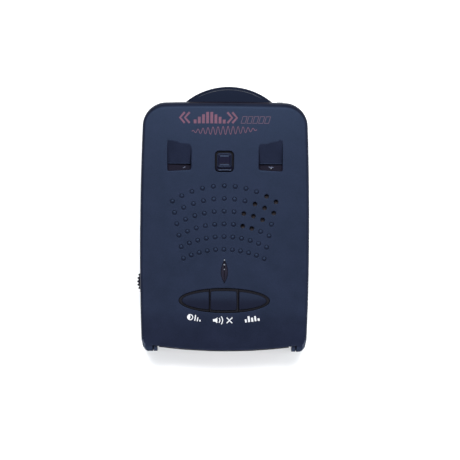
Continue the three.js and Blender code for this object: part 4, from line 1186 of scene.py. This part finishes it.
def clips():
    """A small spring leaf in each bracket slot, with a polished tip on the right one."""
    right = np.array([(17.7, 24.75), (18.6, 24.2), (19.15, 24.2), (20.1, 24.75)])
    left = np.array([(-17.2, 23.95), (-16.2, 24.4), (-16.25, 24.75), (-17.25, 24.3)])
    for name, plan in (("slot_leaf_right", right), ("slot_leaf_left", left)):
        obj = prism_skin(plan, [(0.0, 27.4), (0.0, 27.65)]).object(name)
        finish_piece(obj, "case", DULL_STEEL)
    tip = turned_skin([(0.42, 27.4), (0.42, 27.7), (0.3, 27.82), (0.12, 27.86)], 18.87, 23.95, 20)
    finish_piece(tip.object("slot_leaf_tip"), "case", BRIGHT_STEEL)


def slot_shade_floors():
    """The floor that each slot's spring leaf lies on: a dark sheet set high in the slot, whose colour is
    painted shade for the slot's depth.
    """
    right = rounded([(13.4, 22.2, 0.4), (24.0, 22.2, 0.4), (24.0, 26.0, 0.1), (13.4, 26.0, 0.1)])
    for sign, name in zip(SIDES, ("slot_shade_floor_right", "slot_shade_floor_left")):
        shade_floor = prism_skin(on_side(right, sign), [(0.1, 26.7), (0, 26.8), (0, 27.3), (0.1, 27.42)])
        finish_piece(shade_floor.object(name), "case", LINER_SHADE)


def build():
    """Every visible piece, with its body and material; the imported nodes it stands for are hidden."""
    upper = finish_piece(top_shell(), "case", CASE, ["top_shell"])
    # Painted shade: the upper case's wall over the window is painted black, for the dark seam along the
    # window.
    repaint(upper, BLACK, lambda x, y, z: abs(x - WINDOW_X) < WINDOW_HALF - 1 and y > 50.6 and z < 29.6)
    # Painted highlight: a lighter paint on the upper part of the ears' outer corners.
    repaint(upper, EDGE_HIGHLIGHT, ear_corner_highlight)
    finish_piece(bottom_shell(), "case", CASE, ["bottom_shell"])
    finish_piece(front_window(), "case", SMOKED, ["front_window"])
    finish_piece(window_bead(), "case", RIM_HIGHLIGHT)
    bezel = finish_piece(rear_bezel(), "case", BLACK, ["rear_bezel"])
    # Painted highlight: the posts beside the ears take the lighter tone.
    repaint(bezel, POST_HIGHLIGHT, lambda x, y, z: abs(x) > 27.2 and y < -46.7)
    slot_shade_floors()
    for name, stem_x in (("dim", -11.2), ("mute", -0.2), ("city", 11.3)):
        piece = finish_piece(key(name, stem_x), name + "_key_body", KEYS, [name + "_key"])
        # Painted shade: the step around each key, which fills the opening, takes the dark grey of a shaded
        # gap.
        repaint(piece, GAP_SHADE, lambda x, y, z: z < KEY_STEP_Z + 0.02)
    release = finish_piece(release_button(), "release", BUTTON, ["release_button"])
    # Painted shade: the dish and everything below the cap's top take the darker tone.
    repaint(release, DISH_SHADE, lambda x, y, z: z < TOP - 0.05)
    # Painted shade: the step and tier around the release take the dark grey of a shaded gap.
    repaint(release, GAP_SHADE, lambda x, y, z: z < RELEASE_STEP_Z + 0.02)
    # Painted highlight: a lighter paint on the fine ridge along the release's rear tier.
    repaint(release, EDGE_HIGHLIGHT, lambda x, y, z: z > RELEASE_STEP_Z + 0.45 and y < 23.7)
    coil = finish_piece(release_coil(), "case", DARK_STEEL, ["release_spring"], sharp=80)
    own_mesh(coil)
    finish_piece(thumbwheel(), "volume", BLACK, ["volume_wheel"])
    finish_piece(sensor_lens(), "case", LENS, ["sensor_lens"])
    marks()
    beads()
    clips()


# ---- Stage ----


def area_light(name, place, size, power):
    """A soft light that faces the origin."""
    data = bpy.data.lights.new(name, "AREA")
    data.shape = "RECTANGLE"
    data.size, data.size_y = size
    data.energy = power
    light = bpy.data.objects.new(name, data)
    light.location = place
    light.visible_camera = False
    light.rotation_euler = (-Vector(place)).to_track_quat("-Z", "Y").to_euler()
    bpy.context.scene.collection.objects.link(light)


def stage():
    scene = bpy.context.scene
    world = bpy.data.worlds.new("studio")
    world.use_nodes = True
    set_inputs(world.node_tree.nodes["Background"], {"Color": (0.93, 0.96, 1.0, 1), "Strength": 0.25})
    scene.world = world
    scene.view_settings.view_transform = "Standard"

    reach, below = 900, 0.05
    floor = Skin()
    floor.cap(floor.level([(-reach, -reach), (reach, -reach), (reach, reach), (-reach, reach)], -below))
    table = floor.object("floor")
    paper = bpy.data.materials.new("paper")
    paper.use_nodes = True
    set_inputs(paper.node_tree.nodes["Principled BSDF"], {
        "Base Color": (0.93, 0.945, 0.96, 1), "Roughness": 0.9, "Specular IOR Level": 0.0})
    table.data.materials.append(paper)

    area_light("overhead", (0.0, 0.25, 0.72), (0.45, 0.3), 9.0)
    area_light("front", (0.0, 0.8, 0.6), (0.8, 0.4), 1.2)
    area_light("left", (-0.8, 0.0, 0.6), (0.4, 0.9), 1.2)
    area_light("right", (0.8, 0.0, 0.6), (0.4, 0.9), 3.0)
    area_light("rear", (0.0, -0.8, 0.6), (0.9, 0.4), 8.5)

    # The part stands a little turned in the picture, and the camera looks straight down on it.
    camera = bpy.data.objects.new("camera", bpy.data.cameras.new("camera"))
    camera.data.lens = 600
    camera.data.sensor_width = 36
    camera.data.clip_end = 10
    camera.location = (0.002207, -0.001216, 3.1674)
    camera.rotation_euler = (0, 0, radians(0.34))
    scene.collection.objects.link(camera)
    scene.camera = camera


paint_frame()
build()
stage()
